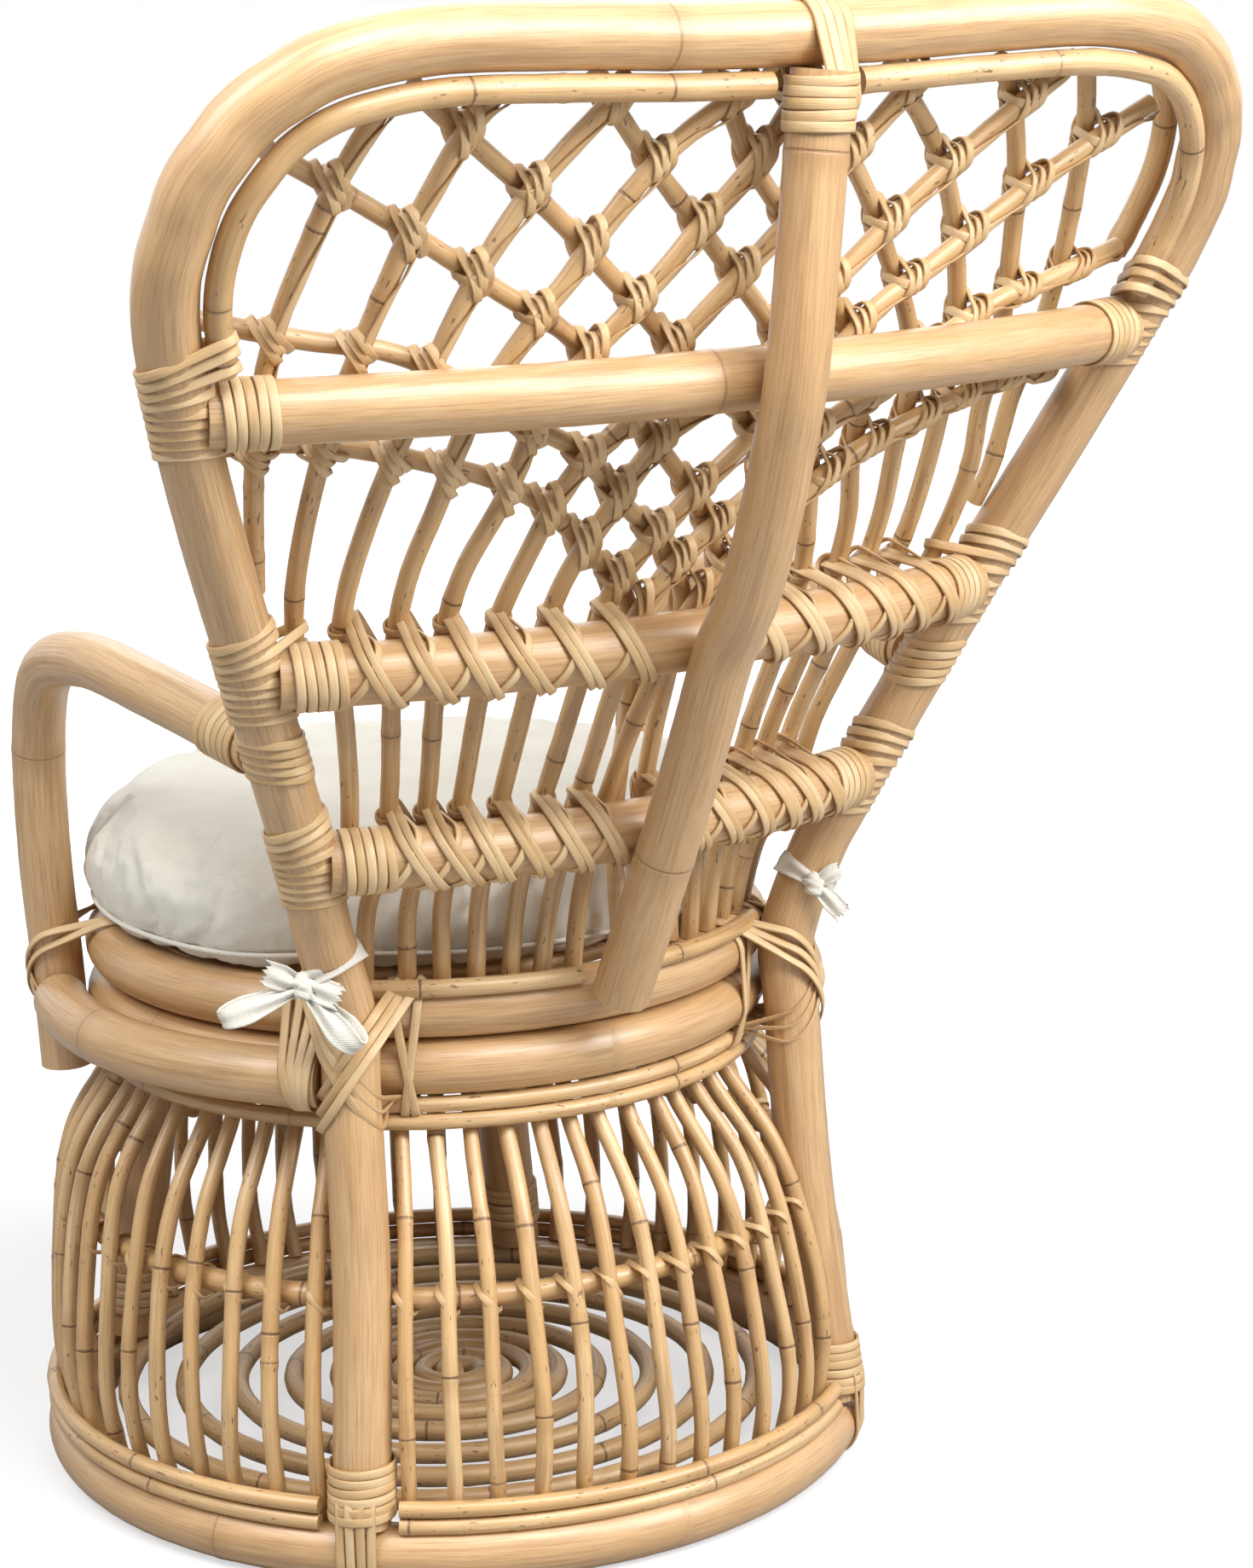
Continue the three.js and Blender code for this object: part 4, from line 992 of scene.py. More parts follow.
def railLashings(index):
    z, lines = railZ[index], []
    edge = postAt(z)[0] - crossTie["fromPost"]
    for path in rearCanes + frontCanes:
        hit = crossAt(path, z)
        if hit is None or not crossTie["skip"][index] < abs(hit[0][0]) < edge:
            continue
        if abs(hit[1][2]) < crossTie["leastRise"]:        # too flat to be tied on
            continue
        for shift, lean, count, lift in ((crossTie["under"], -1, 1, 1.0),
                                         (crossTie["over"], 1, 2, 2.7)):
            x = hit[0][0] + shift
            centre = np.array([x, shellDepth(x, z), z])
            along = unit([1, (shellDepth(x + 5, z) - shellDepth(x - 5, z)) / 10, 0])
            normal = shellNormal(x, z)
            slant = math.radians(crossTie["slant"] * lean + dice.uniform(-3, 3))
            across = turnedFrom(risingFrom(along, normal), along, slant)
            held = crossAt(path, z + crossTie["heldAt"])
            members = [(centre, along, poleRadius)]
            if held is not None:
                members.append((held[0], np.cross(across, normal), crossTie["heldRadius"]))
            lines += belts(centre, across, normal, members, count, crossTie["strand"], lift=lift)
        top = crossAt(path, z + crossTie["topAt"])
        if top is not None:
            normal = shellNormal(top[0][0], z + crossTie["topAt"])
            across = np.cross(normal, top[1]) - top[1] * 0.3
            lines += belts(top[0], across, normal, [(*top, poles["cane"])], 1, lift=1.4)
    return lines


for index, label in enumerate(("low", "middle")):
    strips(label + "RailLashings", railLashings(index), width=0.0054, thickness=0.0018, step=0.003)

# Knots of the lattice, and the loose strips that run from knot to knot.


def crossings():
    found = []
    for i, rear in enumerate(rearCanes):
        for front in frontCanes:
            a, b = rear[:, [0, 2]], front[:, [0, 2]]
            for m in range(len(a) - 1):
                p, r = a[m], a[m + 1] - a[m]
                q, s = b[:-1], np.diff(b, axis=0)
                cross = r[0] * s[:, 1] - r[1] * s[:, 0]
                cross = np.where(np.abs(cross) < 1e-9, 1e-9, cross)
                w = q - p
                t = (w[:, 0] * s[:, 1] - w[:, 1] * s[:, 0]) / cross
                u = (w[:, 0] * r[1] - w[:, 1] * r[0]) / cross
                for n in np.nonzero((t >= 0) & (t < 1) & (u >= 0) & (u < 1))[0]:
                    if p[1] < lattice["knotsFrom"]:
                        continue
                    one = rear[m] + (rear[m + 1] - rear[m]) * t[n]
                    two = front[n] + (front[n + 1] - front[n]) * u[n]
                    found.append({"rear": i, "at": m + t[n], "one": one, "two": two,
                                  "oneAlong": unit(rear[m + 1] - rear[m]),
                                  "twoAlong": unit(front[n + 1] - front[n])})
    return found


def seenAngle(direction, along, upward):
    return math.degrees(math.atan2(direction.dot(upward), -direction.dot(along))) % 180


knot = {"spread": (30, 150), "wide": 55, "strand": 4.4, "hidden": 0.45, "main": 0.52,
        "under": 0.45}
knotLines, spots = [], crossings()
for spot in spots:
    one, two = spot["one"], spot["two"]
    normal = shellNormal(one[0], one[2])
    along = unit(np.array([1, 0, 0]) - normal * normal[0])
    upward = risingFrom(along, normal)
    rearLean = seenAngle(spot["oneAlong"], along, upward)
    frontLean = seenAngle(spot["twoAlong"], along, upward)
    if frontLean < rearLean:
        frontLean += 180
    spread = min(max(frontLean - rearLean, knot["spread"][0]), knot["spread"][1])
    main = rearLean + spread * (knot["main"] + dice.uniform(-0.05, 0.05))
    under = rearLean - (180 - spread) * knot["under"]
    members = [(one, spot["oneAlong"], poles["cane"]), (two, spot["twoAlong"], poles["cane"])]
    hidden = 1 if dice.random() < knot["hidden"] else 0
    for lean, count, lift in ((under, hidden, 0.5), (main, 3 if spread > knot["wide"] else 2, 1.0)):
        for k in range(count):
            strand = k - (count - 1) / 2
            across = turnedFrom(-along, upward, math.radians(lean + strand * dice.uniform(-3, 6)))
            knotLines.append(belt((one + two) / 2, across, normal, members, strand * knot["strand"],
                                  lift + 0.3 * k, tone=dice.uniform(-1, 0.6)))
strips("latticeKnots", knotLines, width=0.006, thickness=0.0017, step=0.0024)
print("knots made:", len(spots), "crossings")

loose = {"points": 16, "shortest": 24, "marks": [0, 0.12, 0.35, 0.6, 1],
         "aside": np.array([4.5, 7.5, 6.2, 2.2, -0.5]), "out": [5.5, 3.2, 4.6, 6.6, 7.2]}
looseLines = []
shares = np.linspace(0, 1, loose["points"])
for i, path in enumerate(rearCanes):
    stops = sorted((s["at"] for s in spots if s["rear"] == i), reverse=True)
    ends = [len(path) - 1.0] + stops
    for upper, lower in zip(ends[:-1], ends[1:]):
        if upper - lower < 2.0:
            continue
        base = rowsAt(path, np.arange(len(path)), np.linspace(upper, lower, loose["points"]))
        if np.linalg.norm(base[0] - base[-1]) < loose["shortest"]:
            continue
        swing = dice.uniform(0.6, 1.2)
        asides = np.interp(shares, loose["marks"], loose["aside"] * [1, swing, swing, 1, 1])
        outs = np.interp(shares, loose["marks"], loose["out"])
        line, facing = [], []
        for place, direction, aside, out in zip(base, tangents(base), asides, outs):
            normal = shellNormal(place[0], place[2])
            over = unit(np.cross(direction, normal))
            over = over if over.dot([-1, 0, -0.6]) > 0 else -over
            line.append(place + over * aside + normal * out)
            facing.append(unit(normal * max(out - 2.4, 0.4) + over * aside * 0.9))
        looseLines.append({"path": smoothThrough(line, 3), "tone": dice.uniform(-0.9, 0.2),
                           "outward": unitRows(smoothThrough(facing, 3))})
strips("looseCaneStrips", looseLines, width=0.0052, thickness=0.0014)
print("loose strips made:", len(looseLines))

# Lashings of the seat rings, posts, braces and arms, the feet, the saddle and the mid ring.


def ringMember(angle, z, radius=rings["seat"], thick=poleRadius):
    return around(radius, angle, z, seatY), asideAt(angle), thick


def seatMembers(angle):
    return [ringMember(angle, rings["upperZ"]), ringMember(angle, rings["lowerZ"])]


seatTie = {"z": 338, "midZ": 340, "braceAngle": 24, "bracePitch": 5.4, "rearAngle": 29,
           "rearPitch": 6.2, "armZ": 345, "out": 238, "post": ((56, 124), 3, 5.6),
           "arm": ((52, 128), 2, 5.8)}


def seatLashings():
    upward = np.array([0, 0, 1.0])

    def crossed(centre, angle, members, leans, count, pitch):
        made = []
        for lean, lift in zip(leans, (1.1, 2.9)):
            across = turnedFrom(asideAt(angle), upward, math.radians(lean))
            made += belts(centre, across, outwardAt(angle), members, count, pitch, lift=lift)
        return made

    def upright(radius, angle, lean, members):
        return belt(around(radius, angle, seatTie["midZ"], seatY), upward + asideAt(angle) * lean,
                    outwardAt(angle), members, lift=1.2)

    post, tangent = postAt(seatTie["z"]), postTangent(seatTie["z"])
    angle = math.atan2(post[0], post[1] - seatY)
    body = [(post, tangent, poleRadius)] + seatMembers(angle)
    lines = crossed(post - upward * 3, angle, body, *seatTie["post"])
    for k in range(4):
        at = angle + (seatTie["braceAngle"] + k * seatTie["bracePitch"]) / rings["brace"]
        members = [ringMember(at, rings["braceZ"], rings["brace"])] + seatMembers(at)
        lines.append(upright(seatTie["out"], at, 0.12 * k - 0.1, members))
    for k in range(2):
        at = angle - (seatTie["rearAngle"] + k * seatTie["rearPitch"]) / seatTie["out"]
        members = seatMembers(at) + [ringMember(at, rings["trimZ"], rings["trim"], poles["trim"])]
        lines.append(upright(rings["seat"], at, 0.16 - 0.3 * k, members))
    foot, footAlong = crossAt(armPath, seatTie["armZ"])
    at = math.atan2(foot[0], foot[1] - seatY)
    members = [(foot, footAlong, poles["arm"])] + seatMembers(at)
    return lines + crossed(foot, at, members, *seatTie["arm"])


strips("seatLashings", bothSides(seatLashings()), **wrapSweep)

footTie = {"low": 47, "turns": 6, "pitch": 6.1, "footZ": 40, "across": (-10.5, -3.6, 3.4, 10.2),
           "stubRise": 12.0, "middle": 30, "floorGap": 1.4}


def footWraps():
    lines = []
    for k in range(footTie["turns"]):
        z = footTie["low"] + k * footTie["pitch"]
        post, tangent = postAt(z), postTangent(z)
        out = outwardAt(math.atan2(post[0], post[1]))
        side = np.cross(tangent, out)
        lines.append(belt(post, side + tangent * dice.uniform(0.0, 0.08), out,
                          [(post, tangent, poleRadius)], lift=2.6))
    foot = postAt(footTie["footZ"])
    angle = math.atan2(foot[0], foot[1])
    side = asideAt(angle)
    ring = (around(rings["base"], angle, rings["baseZ"], 0), side, poleRadius)
    for s in footTie["across"]:
        stub = (foot + np.array([0, 0, footTie["stubRise"]]), side,
                math.sqrt(poleRadius ** 2 - s ** 2))
        line = belt(around(rings["base"], angle, footTie["middle"], 0), [0, 0, 1],
                    outwardAt(angle), [ring, stub], aside=-s, lift=1.1)
        line["path"][:, 2] = np.maximum(line["path"][:, 2], footTie["floorGap"])
        lines.append(line)
    return lines


strips("footWraps", bothSides(footWraps()), **wrapSweep)

saddle = {"x": -12.5, "turns": 4, "spineTurns": 5, "pitch": (6.7, 6.6), "start": 5.5,
          "stub": (14, 946), "middle": (8, 965)}        # behind the hoop, and height


def saddleWraps():
    lines = []
    x0, y0, z0 = spine["head"][0], hoopTop[1], hoopTop[2]
    (stubBack, stubZ), (middleBack, middleZ) = saddle["stub"], saddle["middle"]
    for k in range(saddle["turns"]):
        x = saddle["x"] - k * saddle["pitch"][0]
        radius = math.sqrt(max(poleRadius ** 2 - (x - x0) ** 2, 30))
        stub = ([x, y0 + stubBack, stubZ], [1, 0, 0], radius)
        lines.append(belt([x, y0 + middleBack, middleZ], [0, 0, 1], [0, 1, 0],
                          [([x, y0, z0], [1, 0, 0], poleRadius), stub], lift=1.7))
    top = lengths(spinePath)[-1] - saddle["start"]
    for k in range(saddle["spineTurns"]):
        s = top - k * saddle["pitch"][1]
        centre = pointAt(spinePath, s)
        tangent = unit(centre - pointAt(spinePath, s - 5))
        lines.append(belt(centre, [1, 0, dice.uniform(-0.04, 0.04)], np.cross(tangent, [1, 0, 0]),
                          [(centre, tangent, poleRadius)], lift=1.7 - 0.1 * k))
    return lines


strips("saddleWraps", saddleWraps(), width=0.0068, thickness=0.0024, step=0.0028)


def midRingTies():
    z, lines = rings["midZ"], []
    places = [(s, False) for s in rearShares] + [(s, True) for s in frontShares]
    for angle in [drumAngle(share, z, front) for share, front in places]:
        out, side = outwardAt(angle), asideAt(angle)
        spindle, ring = around(outRing, angle, z), around(midRing, angle, z)
        across = turnedFrom(side, np.array([0, 0, 1]), math.radians(52 + dice.uniform(-6, 6)))
        slope = unit(np.array([0, 0, 1.0]) - out * 0.24)
        members = [(spindle, slope, poles["spindle"]), (ring, side, poles["midRing"])]
        lines += belts((spindle + ring) / 2, across, out, members, 1, lift=0.9,
                       tone=dice.uniform(-1, -0.2))
    return lines


strips("midRingTies", midRingTies(), width=0.0046, thickness=0.0014, step=0.0035)
print("lashings made")

# The seat cushion, swollen by a cloth simulation from a slightly smaller round shape.

cushion = {"radius": 240.0, "rear": 212.0, "thick": 83.0, "floor": 382.6, "centreY": -24.0,
           "seam": 13.0, "voxel": 0.005, "frames": 20, "pressure": 4.0, "travel": 0.026,
           "turns": 96, "scale": 0.99, "pinBand": 0.005, "pinOut": 0.16, "footPin": 0.9}
cushionRows = [(0.79, 0), (0.93, 0.03), (0.97, 0.15), (0.985, 0.32), (0.985, 0.52), (0.965, 0.7),
               (0.91, 0.83), (0.76, 0.91), (0.42, 0.95)]


def cushionReach(angle):
    angle = abs((angle + math.pi) % (2 * math.pi) - math.pi)
    share = float(np.interp(angle, [0, 0.75, 1.15, 4], [0, 0, 1, 1]))
    share = share * share * (3 - 2 * share)
    return cushion["rear"] + (cushion["radius"] - cushion["rear"]) * share


def recalculated(name, built):
    bmesh.ops.recalc_face_normals(built, faces=built.faces)
    mesh = bpy.data.meshes.new(name)
    built.to_mesh(mesh)
    built.free()
    return mesh


def roundShell(name, rows, turns, size):
    built = bmesh.new()

    def corner(angle, reach, height):
        return built.verts.new(toWorld([math.sin(angle) * reach,
                                        cushion["centreY"] + math.cos(angle) * reach,
                                        cushion["floor"] + height]))

    angles = [2 * math.pi * k / turns for k in range(turns)]
    loops = [[corner(a, cushionReach(a) * r * size, z * cushion["thick"]) for a in angles]
             for r, z in rows]
    low, high = corner(0, 0, 0), corner(0, 0, rows[-1][1] * cushion["thick"] + 1)
    for a, b in zip(loops[:-1], loops[1:]):
        for k in range(turns):
            built.faces.new((a[k], b[k], b[(k + 1) % turns], a[(k + 1) % turns]))
    for k in range(turns):
        built.faces.new((low, loops[0][k], loops[0][(k + 1) % turns]))
        built.faces.new((high, loops[-1][(k + 1) % turns], loops[-1][k]))
    return newObject(name, recalculated(name, built))


def readPlaces(mesh):
    flat = np.empty(len(mesh.vertices) * 3, np.float32)
    mesh.vertices.foreach_get("co", flat)
    return flat.reshape(-1, 3).astype(float)


def writePlaces(mesh, places):
    mesh.vertices.foreach_set("co", places.astype(np.float32).ravel())
    mesh.update()


def dressCloth(mesh, weave, domain="POINT"):
    storeVectors(mesh, "weave", weave, domain)
    mesh.materials.append(canvasMaterial)
    mesh.polygons.foreach_set("use_smooth", [True] * len(mesh.polygons))


cushionObject = roundShell("roundSeatCushion", cushionRows, cushion["turns"], cushion["scale"])
remesh = cushionObject.modifiers.new("remesh", "REMESH")
remesh.mode, remesh.voxel_size = "VOXEL", cushion["voxel"]
applied(cushionObject)
places = readPlaces(cushionObject.data)
start = places.copy()
seamHeight = (cushion["floor"] + cushion["seam"]) / 1000
held = cushionObject.vertex_groups.new(name="seam")
for i, place in enumerate(places):
    near = max(0.0, 1 - abs(place[2] - seamHeight) / cushion["pinBand"])
    out = math.hypot(place[0], place[1] - (cushion["centreY"] + shiftY) / 1000)
    if near > 0 and out > cushion["pinOut"]:
        held.add([i], near, "REPLACE")
    if place[2] < (cushion["floor"] + 2) / 1000:
        held.add([i], cushion["footPin"], "REPLACE")
cloth = cushionObject.modifiers.new("cloth", "CLOTH")
cloth.settings.use_pressure = True
cloth.settings.uniform_pressure_force = cushion["pressure"]
cloth.settings.effector_weights.gravity = 0
cloth.settings.vertex_group_mass = "seam"
cloth.settings.tension_stiffness = 8
cloth.settings.shrink_min = -0.05
cloth.collision_settings.use_collision = False
for number in range(1, cushion["frames"] + 1):
    bpy.context.scene.frame_set(number)
applied(cushionObject)
bpy.context.scene.frame_set(1)
places = readPlaces(cushionObject.data)
moved = places - start
far = np.linalg.norm(moved, axis=1, keepdims=True)
places = start + moved * np.minimum(1, cushion["travel"] / np.maximum(far, 1e-9))

soft = cushionObject.modifiers.new("smooth", "SUBSURF")
soft.levels = soft.render_levels = 1
writePlaces(cushionObject.data, places)
applied(cushionObject)
mesh = cushionObject.data
places = readPlaces(mesh)
normals = np.empty(len(places) * 3, np.float32)
mesh.vertex_normals.foreach_get("vector", normals)
normals = normals.reshape(-1, 3)

# Slack folds, gathers at the seam, and a flat underside on the seat ring.
slack = {"seed": 21, "folds": 14, "gathers": 70, "dip": -1.1, "dipWidth": 3.6, "limit": 1.02,
         "soften": 5}
foldDice = random.Random(slack["seed"])
origin = np.array([0, cushion["centreY"] + shiftY, cushion["floor"]])
local = places * 1000 - origin
angles = np.arctan2(local[:, 0], local[:, 1])
aboveSeam = local[:, 2] - cushion["seam"]
wave, gather = np.zeros(len(places)), np.zeros(len(places))
for _ in range(slack["folds"]):
    heading = foldDice.uniform(0, 2 * math.pi)
    middle = np.array([foldDice.uniform(-150, 150), foldDice.uniform(-190, 150)])
    flat = local[:, :2] - middle
    run = flat @ [math.cos(heading), math.sin(heading)]
    cross = flat @ [-math.sin(heading), math.cos(heading)]
    bent = cross + 0.0025 * run ** 2 * foldDice.uniform(-1, 1)
    wide, long = foldDice.uniform(14, 30), foldDice.uniform(50, 120)
    wave += foldDice.uniform(-2.2, 1.2) * np.exp(-(bent / wide) ** 2 - (run / long) ** 2)
for _ in range(slack["gathers"]):
    middle, wide = foldDice.uniform(-math.pi, math.pi), foldDice.uniform(0.012, 0.035)
    tall = foldDice.uniform(10, 34)
    off = (angles - middle + math.pi) % (2 * math.pi) - math.pi
    off = off + aboveSeam * foldDice.uniform(-0.002, 0.002)
    fade = np.exp(-np.abs(np.clip(aboveSeam, -20, 90)) / tall)
    gather += foldDice.uniform(-1.3, 0.7) * np.exp(-(off / wide) ** 2) * fade
seamDip = slack["dip"] * np.exp(-(aboveSeam / slack["dipWidth"]) ** 2)
outside = np.clip((np.hypot(local[:, 0], local[:, 1]) - 170) / 30, 0, 1)
ease = np.clip(local[:, 2] / 12, 0, 1)
folded = (wave * (normals[:, 2] > -0.3) + (gather + seamDip) * outside) * ease
places = places + normals * (folded / 1000)[:, None]
local = places * 1000 - origin
out = np.hypot(local[:, 0], local[:, 1])
limit, soften = np.array([cushionReach(a) for a in angles]) * slack["limit"], slack["soften"]
over = np.maximum(0, out - (limit - soften))
kept = np.where(over > 0, limit - soften + soften * (1 - np.exp(-over / soften)), out)
local[:, :2] *= (kept / np.maximum(out, 1e-6))[:, None]
local[:, 2] = np.clip(local[:, 2], 0, cushion["thick"] + 1)
writePlaces(mesh, (local + origin) / 1000)
corners = np.empty(len(mesh.loops), np.int32)
mesh.loops.foreach_get("vertex_index", corners)
owner = np.repeat(np.arange(len(mesh.polygons)), [p.loop_total for p in mesh.polygons])
facing = np.array([p.normal[2] for p in mesh.polygons])[owner]
level = local[:, 2] * 0
onSide = np.stack([angles * cushion["radius"], local[:, 2] + 300, level], axis=1)[corners]
onTop = np.stack([local[:, 0], local[:, 1], level], axis=1)[corners]
dressCloth(mesh, np.where((np.abs(facing) > 0.45)[:, None], onTop, onSide) / 1000, "CORNER")
finishPiece(cushionObject, ["seat_cushion"])
print("cushion made:", len(mesh.polygons), "faces",
      local.min(axis=0).round(1), local.max(axis=0).round(1))

welt = {"turns": 260, "radius": 1.7, "sides": 10, "near": 3.5, "share": 0.035, "spare": 0.97}
nearSeam = np.abs(local[:, 2] - cushion["seam"]) < welt["near"]
seamAngles, seamOut = angles[nearSeam], np.hypot(local[nearSeam, 0], local[nearSeam, 1])
weltAngles = np.linspace(-math.pi, math.pi, welt["turns"], endpoint=False)
weltReach = []
for a in weltAngles:
    near = np.abs((seamAngles - a + math.pi) % (2 * math.pi) - math.pi) < welt["share"]
    weltReach.append(seamOut[near].max() if near.any() else cushionReach(a) * welt["spare"])
weltReach = np.convolve(np.concatenate([weltReach[-4:], weltReach, weltReach[:4]]),
                        np.ones(9) / 9, "valid")
weltPath = np.array([[math.sin(a) * r, cushion["centreY"] + math.cos(a) * r,
                      cushion["floor"] + cushion["seam"]] for a, r in zip(weltAngles, weltReach)])


def tubeMesh(name, path, radius, sides):
    count, at = len(path), lengths(path)
    ahead = unitRows(np.roll(path, -1, axis=0) - np.roll(path, 1, axis=0))
    side = unitRows(np.cross(ahead, [0, 0, 1]))
    rise = np.cross(side, ahead)
    verts, faces, weave = [], [], []
    for i in range(count):
        for k in range(sides):
            turn = 2 * math.pi * k / sides
            verts.append(toWorld(path[i] + side[i] * math.cos(turn) * radius
                                 + rise[i] * math.sin(turn) * radius))
            weave.append((at[i] / 1000, turn * radius / 1000, 0))
            here, there, after = i * sides, ((i + 1) % count) * sides, (k + 1) % sides
            faces.append((here + k, here + after, there + after, there + k))
    loose = bpy.data.meshes.new(name)
    loose.from_pydata(verts, [], faces)
    built = bmesh.new()
    built.from_mesh(loose)
    bpy.data.meshes.remove(loose)
    return recalculated(name, built), weave


weltMesh, weltWeave = tubeMesh("cushionWelt", weltPath, welt["radius"], welt["sides"])
dressCloth(weltMesh, weltWeave)
finishPiece(newObject("cushionWelt", weltMesh))
print("welt made")

# Cloth ties. Each is laid out from its knot in the directions right, up and back of the view that
# the bow was drawn from.

tie = {"width": 18.0, "thick": 0.9, "z": 398, "across": 13}
bowBack = unit((math.sin(2.5658) * 0.9751, 0.9751 * 0.8388, 0.2217))
bowRight = unit(np.cross([0, 0, 1], bowBack))
bowUp = np.cross(bowBack, bowRight)


def bow(right, up, back=0.0):
    return bowRight * right + bowUp * up + bowBack * back


def flatAcross(heading):
    return unit(bowBack - heading * heading.dot(bowBack))


def ribbonGrid(spine, outward, widths, folds, phase):
    spine, outward = np.asarray(spine, float), unitRows(np.asarray(outward, float))
    ahead = tangents(spine)
    outward = unitRows(outward - ahead * np.sum(outward * ahead, axis=1, keepdims=True))
    side = np.cross(ahead, outward)
    share = np.linspace(-1, 1, tie["across"])
    rows, weave = [], []
    for i, at in enumerate(lengths(spine)):
        ripple = folds[i] * np.sin(share * 4.6 + phase + 0.9 * math.sin(at * 0.07 + phase))
        rows.append(spine[i] + np.outer(share * widths[i] / 2, side[i])
                    + np.outer(ripple, outward[i]))
        weave.append(np.stack([share * tie["width"] / 2, share * 0 + at, share * 0], axis=1))
    return np.array(rows), np.array(weave)


def ribbonPiece(name, grids, node):
    verts, faces, weave = [], [], []
    for rows, marks in grids:
        base, (long, wide, _) = len(verts), rows.shape
        verts.extend(toWorld(rows.reshape(-1, 3)).tolist())
        weave.extend((marks.reshape(-1, 3) / 1000).tolist())
        for i in range(long - 1):
            for k in range(wide - 1):
                a = base + i * wide + k
                faces.append((a, a + 1, a + wide + 1, a + wide))
    mesh = bpy.data.meshes.new(name)
    mesh.from_pydata(verts, [], faces)
    dressCloth(mesh, weave)
    made = newObject(name, mesh)
    wall = made.modifiers.new("wall", "SOLIDIFY")
    wall.thickness, wall.offset = tie["thick"] / 1000, 0
    return finishPiece(made, [node])


def loopGrid(knot, heading, reach, gap, slide, lift, phase, wide):
    heading = unit(heading)
    flat = flatAcross(heading)
    sideways = np.cross(flat, heading)
    spine = []
    for m in np.linspace(0, 1, 41):
        turn = math.pi * m
        opening = math.sin(turn)
        place = knot + heading * reach * (opening ** 0.72) + flat * (
            gap * math.cos(turn) * (0.35 + 0.65 * opening) + lift * opening) \
            + sideways * slide * (0.5 - 0.5 * math.cos(turn)) * opening
        width = tie["width"] * wide * (0.42 + 0.56 * min(1, opening * 1.7) - 0.3 * opening ** 6)
        fold = 2.6 * (1 - min(1, opening * 1.5)) + 0.35
        spine.append([*place, *turnedFrom(flat, heading, turn), width, fold])
    spine = evenly(np.array(spine), 41)
    return ribbonGrid(spine[:, :3], spine[:, 3:6], spine[:, 6], spine[:, 7], phase)


def tailGrid(knot, heading, reach, sag, phase, ragged=2.5, wide=1.0):
    heading = unit(heading)
    flat = flatAcross(heading)
    marks = np.linspace(0, 1, 17)
    spine = [knot + heading * reach * m + flat * (4 * math.sin(math.pi * m * 0.8))
             + np.array([0, 0, -sag * m * m]) for m in marks]
    widths = tie["width"] * wide * (0.42 + 0.5 * np.minimum(1, marks * 1.8))
    rows, weave = ribbonGrid(spine, [flat] * 17, widths, 2.4 * (1 - marks) + 0.5, phase)
    teeth = [((7 * k) % 5 - 2) * ragged / 2 for k in range(rows.shape[1])]
    rows[-1] += np.outer(teeth, unit(spine[-1] - spine[-2]))
    return rows, weave


def bandGrid(centre, across, members, phase, knot):
    line = belt(centre, across, bowBack, members, lift=1.6)
    spine, facing = (np.vstack([rows, rows[:1]]) for rows in (line["path"], line["outward"]))
    near = np.linalg.norm(spine - knot, axis=1)
    widths = tie["width"] * np.clip(0.5 + near / 70, 0.5, 0.86)
    return ribbonGrid(spine, facing, widths, np.clip(1.9 - near / 16, 0.25, 1.9), phase)


def knotPiece(name, centre, size, heading):
    built = bmesh.new()
    bmesh.ops.create_icosphere(built, subdivisions=4, radius=1)
    heading = unit(heading)
    flat = flatAcross(heading)
    sideways = np.cross(flat, heading)
    weave = []
    for vert in built.verts:
        x, y, z = vert.co
        ridge = 1 + 0.07 * math.sin(7 * y + 1.5 * x) + 0.05 * math.sin(5 * x + 9 * y + 2) \
            - 0.16 * math.exp(-((y - 0.25 - 0.35 * x) / 0.09) ** 2)
        place = centre + heading * x * size[0] * ridge \
            + sideways * y * size[1] * ridge + flat * z * size[2] * ridge
        vert.co = Vector(toWorld(place))
        weave.append((x * size[0] / 1000, y * size[1] / 1000, 0))
    mesh = recalculated(name, built)
    dressCloth(mesh, weave)
    return finishPiece(newObject(name, mesh))


def gridLength(grid):
    return lengths(grid[0][:, tie["across"] // 2])[-1]


def gridArea(grid):
    return float(gridLength(grid) * np.mean([lengths(row)[-1] for row in grid[0]]))


leftPost, leftTangent = postAt(tie["z"]), postTangent(tie["z"])
rightPost, rightTangent = leftPost * flip, leftTangent * flip
leftKnot, rightKnot = leftPost + bow(-19, -5, 17), rightPost + bow(8, 4, 21)
leftGrids = [
    bandGrid(leftPost + bowUp * 9, bow(1, 0.62), [(leftPost, leftTangent, poleRadius)], 0.4,
             leftKnot),
    loopGrid(leftKnot, bow(-0.93, -0.40, 0.1), 56, 6.5, -5, 5, 0.8, 0.92),
    loopGrid(leftKnot, bow(0.60, -0.80, 0.12), 53, 7.0, 9, 3, 2.2, 1.0),
    tailGrid(leftKnot, bow(-0.90, 0.42, 0.2), 27, 2, 1.4),
    tailGrid(leftKnot, bow(0.96, -0.18, 0.3), 25, 3, 2.9)]
rightGrids = [
    bandGrid(rightPost + bowUp * 12, bow(1, -0.62), [(rightPost, rightTangent, poleRadius)], 1.1,
             rightKnot),
    tailGrid(rightKnot, bow(0.86, 0.5), 20, 0, 0.7, 2, 0.7),
    tailGrid(rightKnot, bow(0.72, -0.7), 27, 1, 2.0, 2.5, 0.8)]
